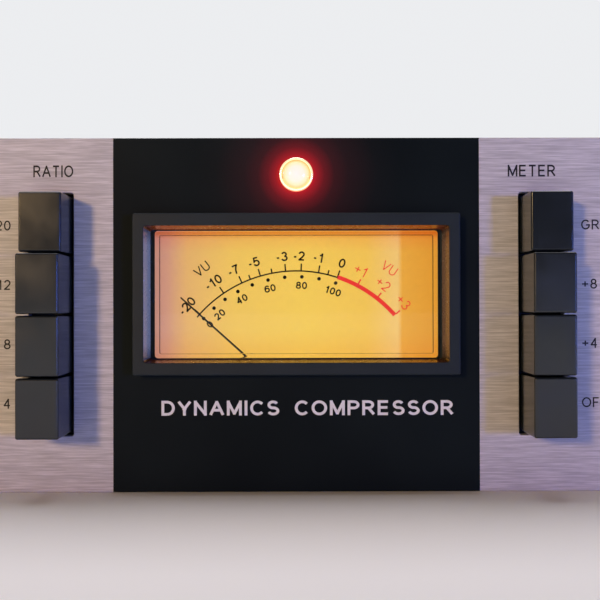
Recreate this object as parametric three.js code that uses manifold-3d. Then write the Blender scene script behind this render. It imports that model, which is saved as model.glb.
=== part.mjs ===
// A two-unit, 19 inch rack compressor: a case of flat plates behind an aluminium front panel
// that carries four knobs, two banks of push buttons, a pilot lamp and a lit level meter.
// Millimetres, +X to the right seen from the front, +Y towards the rear, +Z up.
// The origin is under the middle of the unit, on the surface that it stands on.
import * as THREE from "three";
import { mergeVertices } from "three/addons/utils/BufferGeometryUtils.js";
import Module from "manifold-3d";

const wasm = await Module();
wasm.setup();

// Driving dimensions. Y counts from the front face of the panel, and the whole unit is moved
// at the end so that the origin lies half-way between its frontmost and rearmost points.
const PANEL = { width: 482.6, height: 88.1, thick: 3.2 };
const RACK_SLOT = { x: 232.55, z: 38.1, width: 10.3, height: 6.8 };
const CASE = { width: 430, depth: 215, bottom: 0.8, top: 85, sheet: 1.2, side: 4, rear: 1.6 };
const GAP = 0.1; // left between pieces that touch

const METER = { x: 96.5, z: 49.1, width: 80.4, height: 39.8, proud: 4 };
const METER_OPENING = { width: 73.6, height: 33.6, wall: 1.2 };
const METER_WINDOW = { width: 70.4, height: 31.8, wall: 1, front: 0.5 };
const METER_CASE = { width: 82, bottom: 8, top: 69, wall: 1.6, back: 33 };
const MOVEMENT = { drop: 27.3, needle: 39.8, restDegrees: -48 };
const LAMP = { z: 78.8, flange: 4.3, collar: 3.85, lens: 3.35 };

const COLUMN = { offset: 61, z: 44.2, pitch: 14.75, slotWidth: 11.2, slotHeight: 60.4 };
const BUTTON = { width: 10.2, height: 14.35, proud: 13, latched: 2.6 };
const RATIO_BUTTONS = ["20", "12", "8", "4"];
const METER_BUTTONS = ["gr", "plus8", "plus4", "off"];

const LARGE_KNOB = { skirt: 20, grip: 16, reach: 24, cap: 13.8, flutes: 20, pot: 14 };
const SMALL_KNOB = { skirt: 11.5, grip: 9, reach: 18, cap: 7.2, flutes: 14, pot: 9.5 };
const KNOBS = {
  input: { x: -164, z: 46, size: LARGE_KNOB },
  output: { x: -87, z: 46, size: LARGE_KNOB },
  attack: { x: -19, z: 65, size: SMALL_KNOB },
  release: { x: -19, z: 24, size: SMALL_KNOB },
};

const REAR = { z: 44, xlrInput: 160, padSwitch: 130, xlrOutput: 100, powerInlet: -165, reach: 6.5 };
const BOARD = { left: -60, right: 150, front: 70, back: 190, z: 9, thick: 1.6 };

const PANEL_BACK = PANEL.thick + GAP; // where whatever lies against the back of the panel starts
const CASE_BACK = PANEL_BACK + CASE.depth;
const FLOOR = CASE.bottom + CASE.sheet + GAP; // where whatever stands on the bottom cover starts
const CENTRE_Y = (CASE_BACK + REAR.reach - LARGE_KNOB.reach) / 2;

const FINISH = {
  brushedAluminium: { color: 0xb4b1b3, roughness: 0.35, metalness: 0.9 },
  plainAluminium: { color: 0xa3a6a8, roughness: 0.45, metalness: 0.9 },
  blackSteel: { color: 0x17181a, roughness: 0.6, metalness: 0.4 },
  zincSteel: { color: 0xa9abad, roughness: 0.4, metalness: 0.9 },
  chrome: { color: 0xd8d8dc, roughness: 0.12, metalness: 1 },
  copper: { color: 0xb4653a, roughness: 0.4, metalness: 0.9 },
  iron: { color: 0x55585c, roughness: 0.5, metalness: 0.8 },
  darkPlastic: { color: 0x2c2f31, roughness: 0.6, metalness: 0 },
  blackPlastic: { color: 0x0d0f12, roughness: 0.25, metalness: 0 },
  clearPlastic: { color: 0xeef2f4, roughness: 0.05, metalness: 0, transparent: true, opacity: 0.25 },
  amberDial: { color: 0xf0c050, roughness: 0.7, metalness: 0, emissive: 0xd08a20 },
  redLens: { color: 0xff2a1a, roughness: 0.2, metalness: 0, emissive: 0xff2010 },
  circuitBoard: { color: 0x1e5a34, roughness: 0.5, metalness: 0 },
  glass: { color: 0xd8e4e4, roughness: 0.05, metalness: 0, transparent: true, opacity: 0.4 },
};

const unit = new THREE.Group();
unit.position.y = -CENTRE_Y;

// ---- solids ----

function toSolid(geometry) {
  const bare = geometry.clone();
  bare.deleteAttribute("normal");
  bare.deleteAttribute("uv");
  const { attributes, index } = mergeVertices(bare, 1e-4);
  const vertProperties = new Float32Array(attributes.position.array);
  const triVerts = new Uint32Array(index.array);
  return new wasm.Manifold(new wasm.Mesh({ numProp: 3, vertProperties, triVerts }));
}

function toGeometry(solid) {
  const { vertProperties, triVerts } = solid.getMesh();
  const geometry = new THREE.BufferGeometry();
  geometry.setAttribute("position", new THREE.BufferAttribute(vertProperties, 3));
  geometry.setIndex(new THREE.BufferAttribute(triVerts, 1));
  return geometry;
}

const join = (...solids) => solids.reduce((whole, piece) => whole.add(piece));
const cut = (solid, ...tools) => tools.reduce((left, tool) => left.subtract(tool), solid);

function addGeometry(name, geometry, finish) {
  geometry.computeVertexNormals();
  const mesh = new THREE.Mesh(geometry, new THREE.MeshStandardMaterial(finish));
  mesh.name = name;
  unit.add(mesh);
}

const addSolid = (name, solid, finish) => addGeometry(name, toGeometry(solid), finish);

// A block between two opposite corners.
function block([x0, y0, z0], [x1, y1, z1]) {
  const geometry = new THREE.BoxGeometry(x1 - x0, y1 - y0, z1 - z0);
  return toSolid(geometry.translate((x0 + x1) / 2, (y0 + y1) / 2, (z0 + z1) / 2));
}

// A block centred on x and z that runs from y0 to y1.
const bar = (x, z, width, height, y0, y1) =>
  block([x - width / 2, y0, z - height / 2], [x + width / 2, y1, z + height / 2]);

// A round rod along Y.
function rod(x, z, radius, y0, y1, sides = 16) {
  const geometry = new THREE.CylinderGeometry(radius, radius, y1 - y0, sides);
  return toSolid(geometry.translate(x, (y0 + y1) / 2, z));
}

// A round post along Z.
function post(x, y, radius, z0, z1, sides = 24) {
  const geometry = new THREE.CylinderGeometry(radius, radius, z1 - z0, sides);
  return toSolid(geometry.rotateX(Math.PI / 2).translate(x, y, (z0 + z1) / 2));
}

// An outline in x and z, pushed through from y0 to y1.
function pushedThrough(shape, y0, y1) {
  const settings = { depth: y1 - y0, bevelEnabled: false, curveSegments: 4 };
  return toSolid(new THREE.ExtrudeGeometry(shape, settings).rotateX(Math.PI / 2).translate(0, y1, 0));
}

// A solid turned about the Y axis through x and z, from a profile of [radius, y] points.
function turned(x, z, profile, sides = 24) {
  const points = profile.map(([radius, y]) => new THREE.Vector2(radius, y));
  return toSolid(new THREE.LatheGeometry(points, sides).translate(x, 0, z));
}

// ---- outlines ----

// A slot with round ends.
function obround(x, z, width, height) {
  const radius = height / 2;
  const reach = width / 2 - radius;
  const shape = new THREE.Shape();
  shape.absarc(x + reach, z, radius, -Math.PI / 2, Math.PI / 2);
  shape.absarc(x - reach, z, radius, Math.PI / 2, (3 * Math.PI) / 2);
  shape.closePath();
  return shape;
}

// A circle with a fluted edge.
function fluted(x, z, radius, flutes, depth) {
  const shape = new THREE.Shape();
  for (let step = 0; step < 2 * flutes; step++) {
    const angle = (step * Math.PI) / flutes;
    const r = step % 2 ? radius - depth : radius;
    shape[step ? "lineTo" : "moveTo"](x + r * Math.cos(angle), z + r * Math.sin(angle));
  }
  shape.closePath();
  return shape;
}

// ---- front panel ----

const BUSHING = { radius: 4.5, hole: 4.8, reach: 4.5 };

function frontPanel() {
  const middle = PANEL.height / 2;
  const through = [-1, PANEL.thick + 1];
  const collarWidth = METER_OPENING.width + 2 * METER_OPENING.wall;
  const collarHeight = METER_OPENING.height + 2 * METER_OPENING.wall;
  const holes = [
    bar(METER.x, METER.z, collarWidth + 0.6, collarHeight + 0.6, ...through),
    rod(METER.x, LAMP.z, LAMP.collar + 0.15, ...through),
  ];
  for (const { x, z } of Object.values(KNOBS)) holes.push(rod(x, z, BUSHING.hole, ...through));
  for (const side of [-1, 1]) {
    const columnX = METER.x + side * COLUMN.offset;
    holes.push(bar(columnX, COLUMN.z, COLUMN.slotWidth, COLUMN.slotHeight, ...through));
    for (const level of [-1, 1]) {
      const slotZ = middle + level * RACK_SLOT.z;
      const slot = obround(side * RACK_SLOT.x, slotZ, RACK_SLOT.width, RACK_SLOT.height);
      holes.push(pushedThrough(slot, ...through));
    }
  }
  const sheet = bar(0, middle, PANEL.width, PANEL.height, 0, PANEL.thick);
  addSolid("front_panel", cut(sheet, ...holes), FINISH.brushedAluminium);
}

// ---- level meter ----

const COVER_FLANGE = 1.5;
const DIAL = { front: 7.6, thick: 0.8, width: 76, bottom: 27.5, top: 67 };
const MAGNET = { outer: 11.2, inner: 7.4, front: 11, back: 25 };
const COIL = { width: 12.8, height: 2, front: 12, back: 24, wire: 1.3 };
const PIVOT = { x: METER.x, z: METER.z - MOVEMENT.drop, radius: 0.6 };
const METER_CASE_INSIDE = METER_CASE.back - METER_CASE.wall - GAP;

function meterBezel() {
  const { x, z, width, height, proud } = METER;
  const { width: openWidth, height: openHeight, wall } = METER_OPENING;
  const frame = bar(x, z, width, height, -proud, -GAP);
  const collar = bar(x, z, openWidth + 2 * wall, openHeight + 2 * wall, -2 * GAP, PANEL.thick - GAP);
  const opening = bar(x, z, openWidth, openHeight, -proud - 1, PANEL.thick);
  addSolid("meter_bezel", cut(join(frame, collar), opening), FINISH.darkPlastic);
}

// The clear cover is a flange behind the panel with a box that fills the bezel's opening.
function meterCover() {
  const { x, z } = METER;
  const { width, height, wall, front } = METER_WINDOW;
  const halfFlange = METER_CASE.width / 2;
  const flange = block(
    [x - halfFlange, PANEL_BACK, METER_CASE.bottom],
    [x + halfFlange, PANEL_BACK + COVER_FLANGE, METER_CASE.top],
  );
  const box = bar(x, z, width, height, front, PANEL_BACK + 1);
  const inside = bar(x, z, width - 2 * wall, height - 2 * wall, front + wall, PANEL_BACK + 2);
  addSolid("meter_cover", cut(join(flange, box), inside), FINISH.clearPlastic);
}

// An open-fronted shell with a ledge at each side that the dial is fixed to.
function meterCase() {
  const { x } = METER;
  const { width, bottom, top, wall, back } = METER_CASE;
  const front = PANEL_BACK + COVER_FLANGE + GAP;
  const outer = block([x - width / 2, front, bottom], [x + width / 2, back, top]);
  const hollow = block(
    [x - width / 2 + wall, front - 1, bottom + wall],
    [x + width / 2 - wall, back - wall, top - wall],
  );
  const ledge = { reach: 6, front: DIAL.front + DIAL.thick + GAP, back: 12 };
  const ledges = [-1, 1].map((side) =>
    bar(x + side * (width / 2 - ledge.reach / 2), 47, ledge.reach, 30, ledge.front, ledge.back),
  );
  addSolid("meter_case", join(cut(outer, hollow), ...ledges), FINISH.blackSteel);
}

function meterDial() {
  const { front, thick, width, bottom, top } = DIAL;
  const dial = block([METER.x - width / 2, front, bottom], [METER.x + width / 2, front + thick, top]);
  addSolid("meter_dial", dial, FINISH.amberDial);
}

// A strip of five lamps behind the dial, on a board that stands off the back of the meter case.
function meterLamps() {
  const { x } = METER;
  const z = 50;
  const board = bar(x, z, 68, 24, 28.6, 30.2);
  const lamps = [-2, -1, 0, 1, 2].map((place) => bar(x + place * 13, z, 5, 5, 26.6, 29));
  const spacers = [-1, 1].map((side) => bar(x + side * 30, z, 4, 4, 30, METER_CASE_INSIDE));
  addSolid("meter_lamp_board", join(board, ...lamps, ...spacers), FINISH.circuitBoard);
}

// The iron core sits inside the coil, held to the magnet by a web that the coil never reaches.
function meterMagnet() {
  const { x, z } = PIVOT;
  const { outer, inner, front, back } = MAGNET;
  const ring = rod(x, z, outer, front, back, 24);
  const foot = bar(x, z - 9, 10, 4, front, METER_CASE_INSIDE);
  const bore = rod(x, z, inner, front - 1, METER_CASE.back, 24);
  addSolid("meter_magnet", cut(join(ring, foot), bore), FINISH.iron);

  const core = rod(x, z, 4.4, 14.4, 21.6);
  const web = block([x - 0.6, 15, z], [x + 0.6, 21, z + inner - 2 * GAP]);
  addSolid("meter_core", join(core, web), FINISH.iron);
}

// The moving coil and the pointer share one arbor and turn together.
function meterMovement() {
  const { x, z, radius } = PIVOT;
  const { width, height, front, back, wire } = COIL;
  const loop = cut(
    bar(x, z, width, height, front, back),
    bar(x, z, width - 2 * wire, 2 * height, front + wire, back - wire),
  );
  addTurned("meter_coil", join(loop, rod(x, z, radius, back - 0.5, back + 3, 12)), FINISH.copper);

  const hub = rod(x, z, 1.7, 5.6, 7.2);
  const arbor = rod(x, z, radius, 7, front - GAP, 12);
  const blade = block([x - 0.2, 6, z], [x + 0.2, 6.3, z + MOVEMENT.needle]);
  const tail = block([x - 0.7, 5.9, z - 6.5], [x + 0.7, 6.5, z]);
  addTurned("meter_pointer", join(hub, arbor, blade, tail), FINISH.blackPlastic);
}

// Adds a piece of the movement, turned from upright to where it rests, at the scale's left end.
function addTurned(name, solid, finish) {
  const { x, z } = PIVOT;
  const angle = THREE.MathUtils.degToRad(MOVEMENT.restDegrees);
  const geometry = toGeometry(solid).translate(-x, 0, -z).rotateY(angle).translate(x, 0, z);
  addGeometry(name, geometry, finish);
}

// ---- pilot lamp ----

function pilotLamp() {
  const { x } = METER;
  const { z, flange, collar, lens } = LAMP;
  const ring = join(rod(x, z, flange, -1.6, -GAP, 24), rod(x, z, collar, -0.5, 6, 24));
  addSolid("pilot_lamp_bezel", cut(ring, rod(x, z, lens + GAP, -2, 7, 24)), FINISH.chrome);
  const dome = [[0, -2.5], [lens * 0.45, -2.4], [lens * 0.8, -2], [lens, -1.4], [lens, 8], [0, 8]];
  addSolid("pilot_lamp_lens", turned(x, z, dome), FINISH.redLens);
}

// ---- push buttons ----

const BANK = { width: 16, height: 62, front: 9, back: 32, guide: 5, guideEnd: 21 };
const STEM = { width: 4, length: 16 };

function pushButtons(side, prefix, labels) {
  const x = METER.x + side * COLUMN.offset;
  const levels = labels.map((_, row) => COLUMN.z + (1.5 - row) * COLUMN.pitch);

  labels.forEach((label, row) => {
    const shift = row === 0 ? BUTTON.latched : 0; // the top button of each bank is the one pressed
    const cap = bar(x, levels[row], BUTTON.width, BUTTON.height, shift - BUTTON.proud, shift + 0.8);
    const stem = bar(x, levels[row], STEM.width, STEM.width, shift, shift + STEM.length);
    addSolid(`${prefix}_button_${label}`, join(cap, stem), FINISH.blackPlastic);
  });

  const body = bar(x, COLUMN.z, BANK.width, BANK.height, BANK.front, BANK.back);
  const feet = [-1, 1].map((end) =>
    bar(x, COLUMN.z + end * (BANK.height / 2 + 2), 10, 5, PANEL_BACK, BANK.front + 3),
  );
  const guides = levels.map((z) => bar(x, z, BANK.guide, BANK.guide, BANK.front - 1, BANK.guideEnd));
  addSolid(`${prefix}_switch_bank`, cut(join(body, ...feet), ...guides), FINISH.darkPlastic);
}

// ---- knobs and potentiometers ----

const SHAFT_RADIUS = 3;
const KNOB_SKIRT = { front: -4, back: -1 };
const KNOB_HUB = { nutRoom: 7.4, depth: 5.4, clearance: 0.25 };

function control(name, { x, z, size }) {
  const front = -size.reach;
  const shaftFront = front + 4;
  const skirt = rod(x, z, size.skirt, KNOB_SKIRT.front, KNOB_SKIRT.back, 32);
  const grip = pushedThrough(fluted(x, z, size.grip, size.flutes, 0.9), front + 0.6, KNOB_SKIRT.back - 1);
  const recess = rod(x, z, size.cap + 0.3, front, front + 1.6, 24);
  const nutRoom = rod(x, z, KNOB_HUB.nutRoom, -KNOB_HUB.depth, 0);
  const bore = rod(x, z, SHAFT_RADIUS + KNOB_HUB.clearance, shaftFront - 0.5, KNOB_SKIRT.back);
  addSolid(`${name}_knob`, cut(join(skirt, grip), recess, nutRoom, bore), FINISH.blackPlastic);
  addSolid(`${name}_knob_cap`, rod(x, z, size.cap, front, front + 1.5, 24), FINISH.brushedAluminium);
  addSolid(`${name}_shaft`, rod(x, z, SHAFT_RADIUS, shaftFront, 8), FINISH.zincSteel);

  const can = rod(x, z, size.pot, PANEL_BACK, 16, 24);
  const bushing = rod(x, z, BUSHING.radius, -BUSHING.reach, PANEL_BACK + 1);
  const terminals = [-1, 0, 1].map((place) => bar(x + place * 5, z - size.pot, 1.6, 8, 13, 13.8));
  const shaftRoom = rod(x, z, SHAFT_RADIUS + 0.2, -BUSHING.reach - 1, 9);
  const body = cut(join(can, bushing, ...terminals), shaftRoom);
  addSolid(`${name}_potentiometer`, body, FINISH.zincSteel);
}

// ---- case ----

function casePlates() {
  const half = CASE.width / 2;
  const { sheet, side, rear, bottom, top } = CASE;
  const sideTop = top - sheet - GAP;

  const bottomCover = block([-half, PANEL_BACK, bottom], [half, CASE_BACK, bottom + sheet]);
  addSolid("bottom_cover", bottomCover, FINISH.blackSteel);

  const left = block([-half, PANEL_BACK, FLOOR], [-half + side, CASE_BACK - rear - GAP, sideTop]);
  const right = block([half - side, PANEL_BACK, FLOOR], [half, CASE_BACK - rear - GAP, sideTop]);
  addSolid("left_side_plate", left, FINISH.plainAluminium);
  addSolid("right_side_plate", right, FINISH.plainAluminium);

  const vent = { length: 90, width: 3, pitch: 9, front: 60, rows: 12 };
  const vents = [];
  for (const x of [-150, 45]) {
    for (let row = 0; row < vent.rows; row++) {
      const y = vent.front + row * vent.pitch;
      vents.push(bar(x, top, vent.length, 4 * sheet, y, y + vent.width));
    }
  }
  const topCover = block([-half, PANEL_BACK, top - sheet], [half, CASE_BACK, top]);
  addSolid("top_cover", cut(topCover, ...vents), FINISH.blackSteel);

  const y0 = CASE_BACK - rear;
  const through = [y0 - 1, CASE_BACK + 1];
  const holes = [
    rod(REAR.xlrInput, REAR.z, XLR.panelHole, ...through, 24),
    rod(REAR.xlrOutput, REAR.z, XLR.panelHole, ...through, 24),
    bar(REAR.powerInlet, REAR.z, INLET.width + 0.4, INLET.height + 0.4, ...through),
    bar(REAR.padSwitch, REAR.z, PAD_SWITCH.width + 0.6, PAD_SWITCH.height + 0.6, ...through),
  ];
  const rearPanel = cut(block([-half, y0, FLOOR], [half, CASE_BACK, sideTop]), ...holes);
  addSolid("rear_panel", rearPanel, FINISH.blackSteel);
}

// ---- rear connectors ----

const CONNECTOR_FRONT = CASE_BACK + GAP; // where a flange on the rear panel starts
const XLR = {
  panelHole: 12,
  flange: { width: 26, height: 31, thick: 2 },
  barrel: 11.4,
  mouth: CONNECTOR_FRONT + 3.5,
  floor: CONNECTOR_FRONT - 9.5,
  inside: CASE_BACK - 22,
  socket: 9.3,
  insert: 7.6,
};
const XLR_PINS = { circle: 4.75, degrees: [30, 150, 270] };
const XLR_LATCH = { width: 5, height: 2, offset: 10.4, clearance: 0.3, front: XLR.floor + 3 };

function xlrShell(x) {
  const { flange, barrel, mouth, inside } = XLR;
  return join(
    bar(x, REAR.z, flange.width, flange.height, CONNECTOR_FRONT, CONNECTOR_FRONT + flange.thick),
    rod(x, REAR.z, barrel, inside, mouth, 24),
  );
}

function xlrPins(x, radius, y0, y1) {
  return XLR_PINS.degrees.map((degrees) => {
    const angle = THREE.MathUtils.degToRad(degrees);
    const pinX = x + XLR_PINS.circle * Math.cos(angle);
    const pinZ = REAR.z + XLR_PINS.circle * Math.sin(angle);
    return rod(pinX, pinZ, radius, y0, y1, 8);
  });
}

function xlrInput(x) {
  const { mouth, floor, socket, insert } = XLR;
  const { width, height, offset, clearance, front } = XLR_LATCH;
  const groove = cut(
    rod(x, REAR.z, socket, floor, mouth + 1, 24),
    rod(x, REAR.z, insert, floor - 1, mouth + 2, 24),
  );
  const latchSlot = bar(
    x, REAR.z + offset, width + 2 * clearance, height + 2 * clearance, floor, mouth + 1,
  );
  const body = cut(xlrShell(x), groove, latchSlot, ...xlrPins(x, 1.4, floor, mouth + 1));
  addSolid("xlr_input_socket", body, FINISH.zincSteel);
  const lever = bar(x, REAR.z + offset, width, height, front, CASE_BACK + REAR.reach);
  addSolid("xlr_input_latch", lever, FINISH.zincSteel);
}

function xlrOutput(x) {
  const { mouth, floor, socket } = XLR;
  const cup = cut(xlrShell(x), rod(x, REAR.z, socket, floor, mouth + 1, 24));
  const body = join(cup, ...xlrPins(x, 1.2, floor - 1, mouth - 2));
  addSolid("xlr_output_socket", body, FINISH.zincSteel);
}

const INLET = { width: 27, height: 40, inside: CASE_BACK - 30, face: CONNECTOR_FRONT + 3 };
const SOCKET = { width: 24.4, height: 16.6, bevel: 4.5, depth: 17, z: REAR.z + 5 };
const DRAWER = { width: 21.4, height: 8.8, depth: 23, z: REAR.z - 14.6 };

// The outline of a mains socket: a rectangle with its two upper corners cut off.
function socketOutline(x) {
  const { width, height, bevel, z } = SOCKET;
  const outline = new THREE.Shape();
  outline.moveTo(x - width / 2, z - height / 2);
  outline.lineTo(x + width / 2, z - height / 2);
  outline.lineTo(x + width / 2, z + height / 2 - bevel);
  outline.lineTo(x + width / 2 - bevel, z + height / 2);
  outline.lineTo(x - width / 2 + bevel, z + height / 2);
  outline.lineTo(x - width / 2, z + height / 2 - bevel);
  outline.closePath();
  return outline;
}

function powerInlet(x) {
  const { width, height, inside, face } = INLET;
  const flange = bar(x, REAR.z, width + 4, height + 8, CONNECTOR_FRONT, face);
  const body = bar(x, REAR.z, width, height, inside, CONNECTOR_FRONT + 1);
  const floor = face - SOCKET.depth;
  const socket = pushedThrough(socketOutline(x), floor, face + 1);
  const bay = bar(x, DRAWER.z, DRAWER.width + 0.6, DRAWER.height + 0.6, face - DRAWER.depth - 1, face + 1);
  const blades = [[0, 3.6], [-7, -2], [7, -2]].map(([dx, dz]) =>
    bar(x + dx, SOCKET.z + dz, 2, 4.6, floor - 1, face - 3),
  );
  const shell = join(cut(join(flange, body), socket, bay), ...blades);
  addSolid("power_inlet", shell, FINISH.blackPlastic);
}

// The drawer under the socket slides out to the rear with the mains fuse in it.
function fuseDrawer(x) {
  const { face } = INLET;
  const { width, height, depth, z } = DRAWER;
  const fuseRadius = 2.5;
  const tray = bar(x, z, width, height, face - depth, face + 1);
  const front = bar(x, z, width + 2, height + 2, face + GAP, face + 1.6);
  const pocket = block([x - 3, face - depth + 1, z - fuseRadius - GAP], [x + 3, face - 0.8, z + height]);
  const fingerPull = bar(x, z - height / 2, 9, 2.4, face + 0.8, face + 2);
  addSolid("fuse_drawer", cut(join(tray, front), pocket, fingerPull), FINISH.blackPlastic);
  const fuse = rod(x, z, fuseRadius, face - depth + 1.6, face - 1.4, 20);
  addSolid("mains_fuse", fuse, FINISH.glass);
}

const PAD_SWITCH = { width: 6, height: 12.4, travel: 4 };

function padSwitch(x) {
  const { width, height, travel } = PAD_SWITCH;
  const slider = { width: 3.6, height: 5, back: CASE_BACK - 3.5 };
  const flange = bar(x, REAR.z, width + 3, height + 18, CONNECTOR_FRONT, CONNECTOR_FRONT + 0.8);
  const body = bar(x, REAR.z, width, height, CASE_BACK - 10, CONNECTOR_FRONT + 0.4);
  const track = bar(
    x, REAR.z, slider.width + 0.4, slider.height + travel + 0.4, slider.back - GAP, CONNECTOR_FRONT + 1,
  );
  addSolid("pad_switch_body", cut(join(flange, body), track), FINISH.zincSteel);
  const rest = REAR.z - travel / 2;
  const lever = bar(x, rest, slider.width, slider.height, slider.back, CONNECTOR_FRONT + 3.4);
  addSolid("pad_switch_slider", lever, FINISH.blackPlastic);
}

// ---- inside the case ----

const BOARD_TOP = BOARD.z + BOARD.thick + GAP; // where whatever is soldered to the board starts

function mainBoard() {
  const { left, right, front, back, z, thick } = BOARD;
  const edge = 5;
  const board = block([left, front, z], [right, back, z + thick]);
  const standoffs = [];
  for (const x of [left + edge, right - edge]) {
    for (const y of [front + edge, back - edge]) standoffs.push(post(x, y, 3, FLOOR, z + thick / 2, 12));
  }
  addSolid("main_board", join(board, ...standoffs), FINISH.circuitBoard);
}

const capacitor = (name, x, y) =>
  addSolid(name, post(x, y, 11, BOARD_TOP, BOARD_TOP + 36), FINISH.darkPlastic);

function heatSink(x, y) {
  const height = 30;
  const fin = { thick: 3, pitch: 9.4, count: 6, depth: 15 };
  const width = fin.pitch * (fin.count - 1) + fin.thick;
  const base = block([x, y, BOARD_TOP], [x + width, y + 3, BOARD_TOP + height]);
  const fins = Array.from({ length: fin.count }, (_, i) => {
    const finX = x + i * fin.pitch;
    return block([finX, y + 2, BOARD_TOP], [finX + fin.thick, y + 3 + fin.depth, BOARD_TOP + height]);
  });
  addSolid("heat_sink", join(base, ...fins), FINISH.plainAluminium);
}

function audioTransformer(name, x, y) {
  const core = block([x - 19, y - 12, BOARD_TOP], [x + 19, y + 12, BOARD_TOP + 33]);
  const winding = block([x - 12, y - 18, BOARD_TOP + 6], [x + 12, y + 18, BOARD_TOP + 27]);
  addSolid(name, join(core, winding), FINISH.iron);
}

// A ring-shaped mains transformer under a plate that a central stud holds down.
function powerTransformer(x, y) {
  const ring = { outer: 42, inner: 14, height: 38 };
  const top = FLOOR + ring.height;
  const coil = cut(
    post(x, y, ring.outer, FLOOR, top, 32),
    post(x, y, ring.inner, FLOOR - 1, top + 1, 24),
  );
  addSolid("power_transformer", coil, FINISH.copper);
  const clamp = post(x, y, 20, top + GAP, top + 2);
  const stud = post(x, y, 4, FLOOR, top + 5, 12);
  addSolid("transformer_clamp", join(clamp, stud), FINISH.zincSteel);
}

// ---- the whole unit ----

frontPanel();
meterBezel();
meterCover();
meterCase();
meterDial();
meterLamps();
meterMagnet();
meterMovement();
pilotLamp();
pushButtons(-1, "ratio", RATIO_BUTTONS);
pushButtons(1, "meter", METER_BUTTONS);
for (const [name, place] of Object.entries(KNOBS)) control(name, place);

casePlates();
xlrInput(REAR.xlrInput);
xlrOutput(REAR.xlrOutput);
powerInlet(REAR.powerInlet);
fuseDrawer(REAR.powerInlet);
padSwitch(REAR.padSwitch);

mainBoard();
capacitor("filter_capacitor_front", -40, 100);
capacitor("filter_capacitor_rear", -40, 130);
heatSink(-15, 158);
audioTransformer("input_transformer", 118, 160);
audioTransformer("output_transformer", 70, 160);
powerTransformer(-150, 115);

export default unit;
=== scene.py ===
"""A two-unit rack compressor: finished surfaces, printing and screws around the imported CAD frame.

All shapes are worked out in millimetres in the frame of the CAD part (+X right seen from the
front, +Y to the rear, +Z up) and become metres when a piece is made.
"""

import functools
import math
from itertools import product

import bmesh
import bpy
from mathutils import Matrix, Vector
from mathutils.geometry import delaunay_2d_cdt, tessellate_polygon


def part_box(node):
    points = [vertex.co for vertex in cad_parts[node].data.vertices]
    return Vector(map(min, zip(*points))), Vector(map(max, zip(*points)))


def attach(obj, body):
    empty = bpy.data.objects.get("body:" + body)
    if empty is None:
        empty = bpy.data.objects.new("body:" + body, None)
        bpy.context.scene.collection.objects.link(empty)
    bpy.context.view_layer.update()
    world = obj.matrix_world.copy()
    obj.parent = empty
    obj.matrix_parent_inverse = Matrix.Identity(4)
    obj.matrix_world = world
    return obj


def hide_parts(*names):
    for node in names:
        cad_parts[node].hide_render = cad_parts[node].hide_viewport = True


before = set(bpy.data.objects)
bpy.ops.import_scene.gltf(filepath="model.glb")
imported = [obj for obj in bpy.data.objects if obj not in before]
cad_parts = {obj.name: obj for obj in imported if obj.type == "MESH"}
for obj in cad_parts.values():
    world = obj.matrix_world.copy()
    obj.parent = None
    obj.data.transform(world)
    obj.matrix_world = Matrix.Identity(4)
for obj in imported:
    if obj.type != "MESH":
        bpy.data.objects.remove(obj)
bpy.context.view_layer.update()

MM = 0.001


def box(node):
    """The lowest and highest corners of a CAD node, in millimetres."""
    low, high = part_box(node)
    return low / MM, high / MM


def middle(node):
    low, high = box(node)
    return (low + high) / 2


# ---- driving dimensions ----

PANEL_LOW, PANEL_HIGH = box("front_panel")
FACE = PANEL_LOW.y  # the front face of the panel
PANEL_BACK = PANEL_HIGH.y
PANEL_MIDDLE = PANEL_HIGH.z / 2
CENTRE_FIELD = 91.1  # width of the black field around the meter
METER_X, _, METER_Z = middle("meter_bezel")
METER_OPENING = (76.6, 36.6)
LAMP_X, _, LAMP_Z = middle("pilot_lamp_lens")
PIVOT_X, _, PIVOT_Z = middle("meter_coil")
REST_ANGLE = -48.0  # degrees from upright at which the pointer rests
SCALE_RADIUS = 33.4
BUTTONS = {  # the legend of each button, from the top
    "ratio": {"20": "20", "12": "12", "8": "8", "4": "4"},
    "meter": {"gr": "GR", "plus8": "+8", "plus4": "+4", "off": "OFF"},
}
BUTTON_DEPTH = 13.8  # of the cap, from front to back
BUTTON_SLOT = (11.2, 60.4)
KNOBS = ("input", "output", "attack", "release")
LARGE_KNOBS = ("input", "output")
REAR_FACE = box("rear_panel")[1].y
REAR_LEVEL = middle("xlr_output_socket").z  # of the middles of the rear connectors
XLR_MOUTH = 3.6  # how far a barrel stands out of the rear panel
XLR_FLOOR = -9.4  # from the rear panel to the floor of a socket
XLR_BARREL, XLR_SOCKET, XLR_PINS = 11.4, 9.3, 4.75  # radii
PRINT = 0.03  # thickness of printed ink
CHASSIS = "chassis"


# ---- shapes: a shape is a list of points and a list of faces, in millimetres ----


def merge(*shapes):
    points, faces = [], []
    for shape_points, shape_faces in shapes:
        start = len(points)
        points += shape_points
        faces += [tuple(start + index for index in face) for face in shape_faces]
    return points, faces


def changed(shape, matrix):
    points, faces = shape
    return [tuple(matrix @ Vector(point)) for point in points], faces


def around(x, z, radius, degrees):
    """The point at a radius and an angle about x and z."""
    angle = math.radians(degrees)
    return x + radius * math.cos(angle), z + radius * math.sin(angle)


def arc(x, z, radius, start, end, count):
    return [around(x, z, radius, start + (end - start) * step / (count - 1)) for step in range(count)]


def rounded(x, z, width, height, radius, corner=6):
    """An outline in x and z. Called with a distance, it gives the points of the outline grown by it."""

    def outline(grow=0.0):
        r = radius + grow
        reach_x, reach_z = width / 2 + grow - r, height / 2 + grow - r
        points = []
        for quarter, (side, level) in enumerate([(1, 1), (-1, 1), (-1, -1), (1, -1)]):
            start = 90 * quarter
            points += arc(x + side * reach_x, z + level * reach_z, r, start, start + 90, corner + 1)
        return points

    return outline


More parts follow.
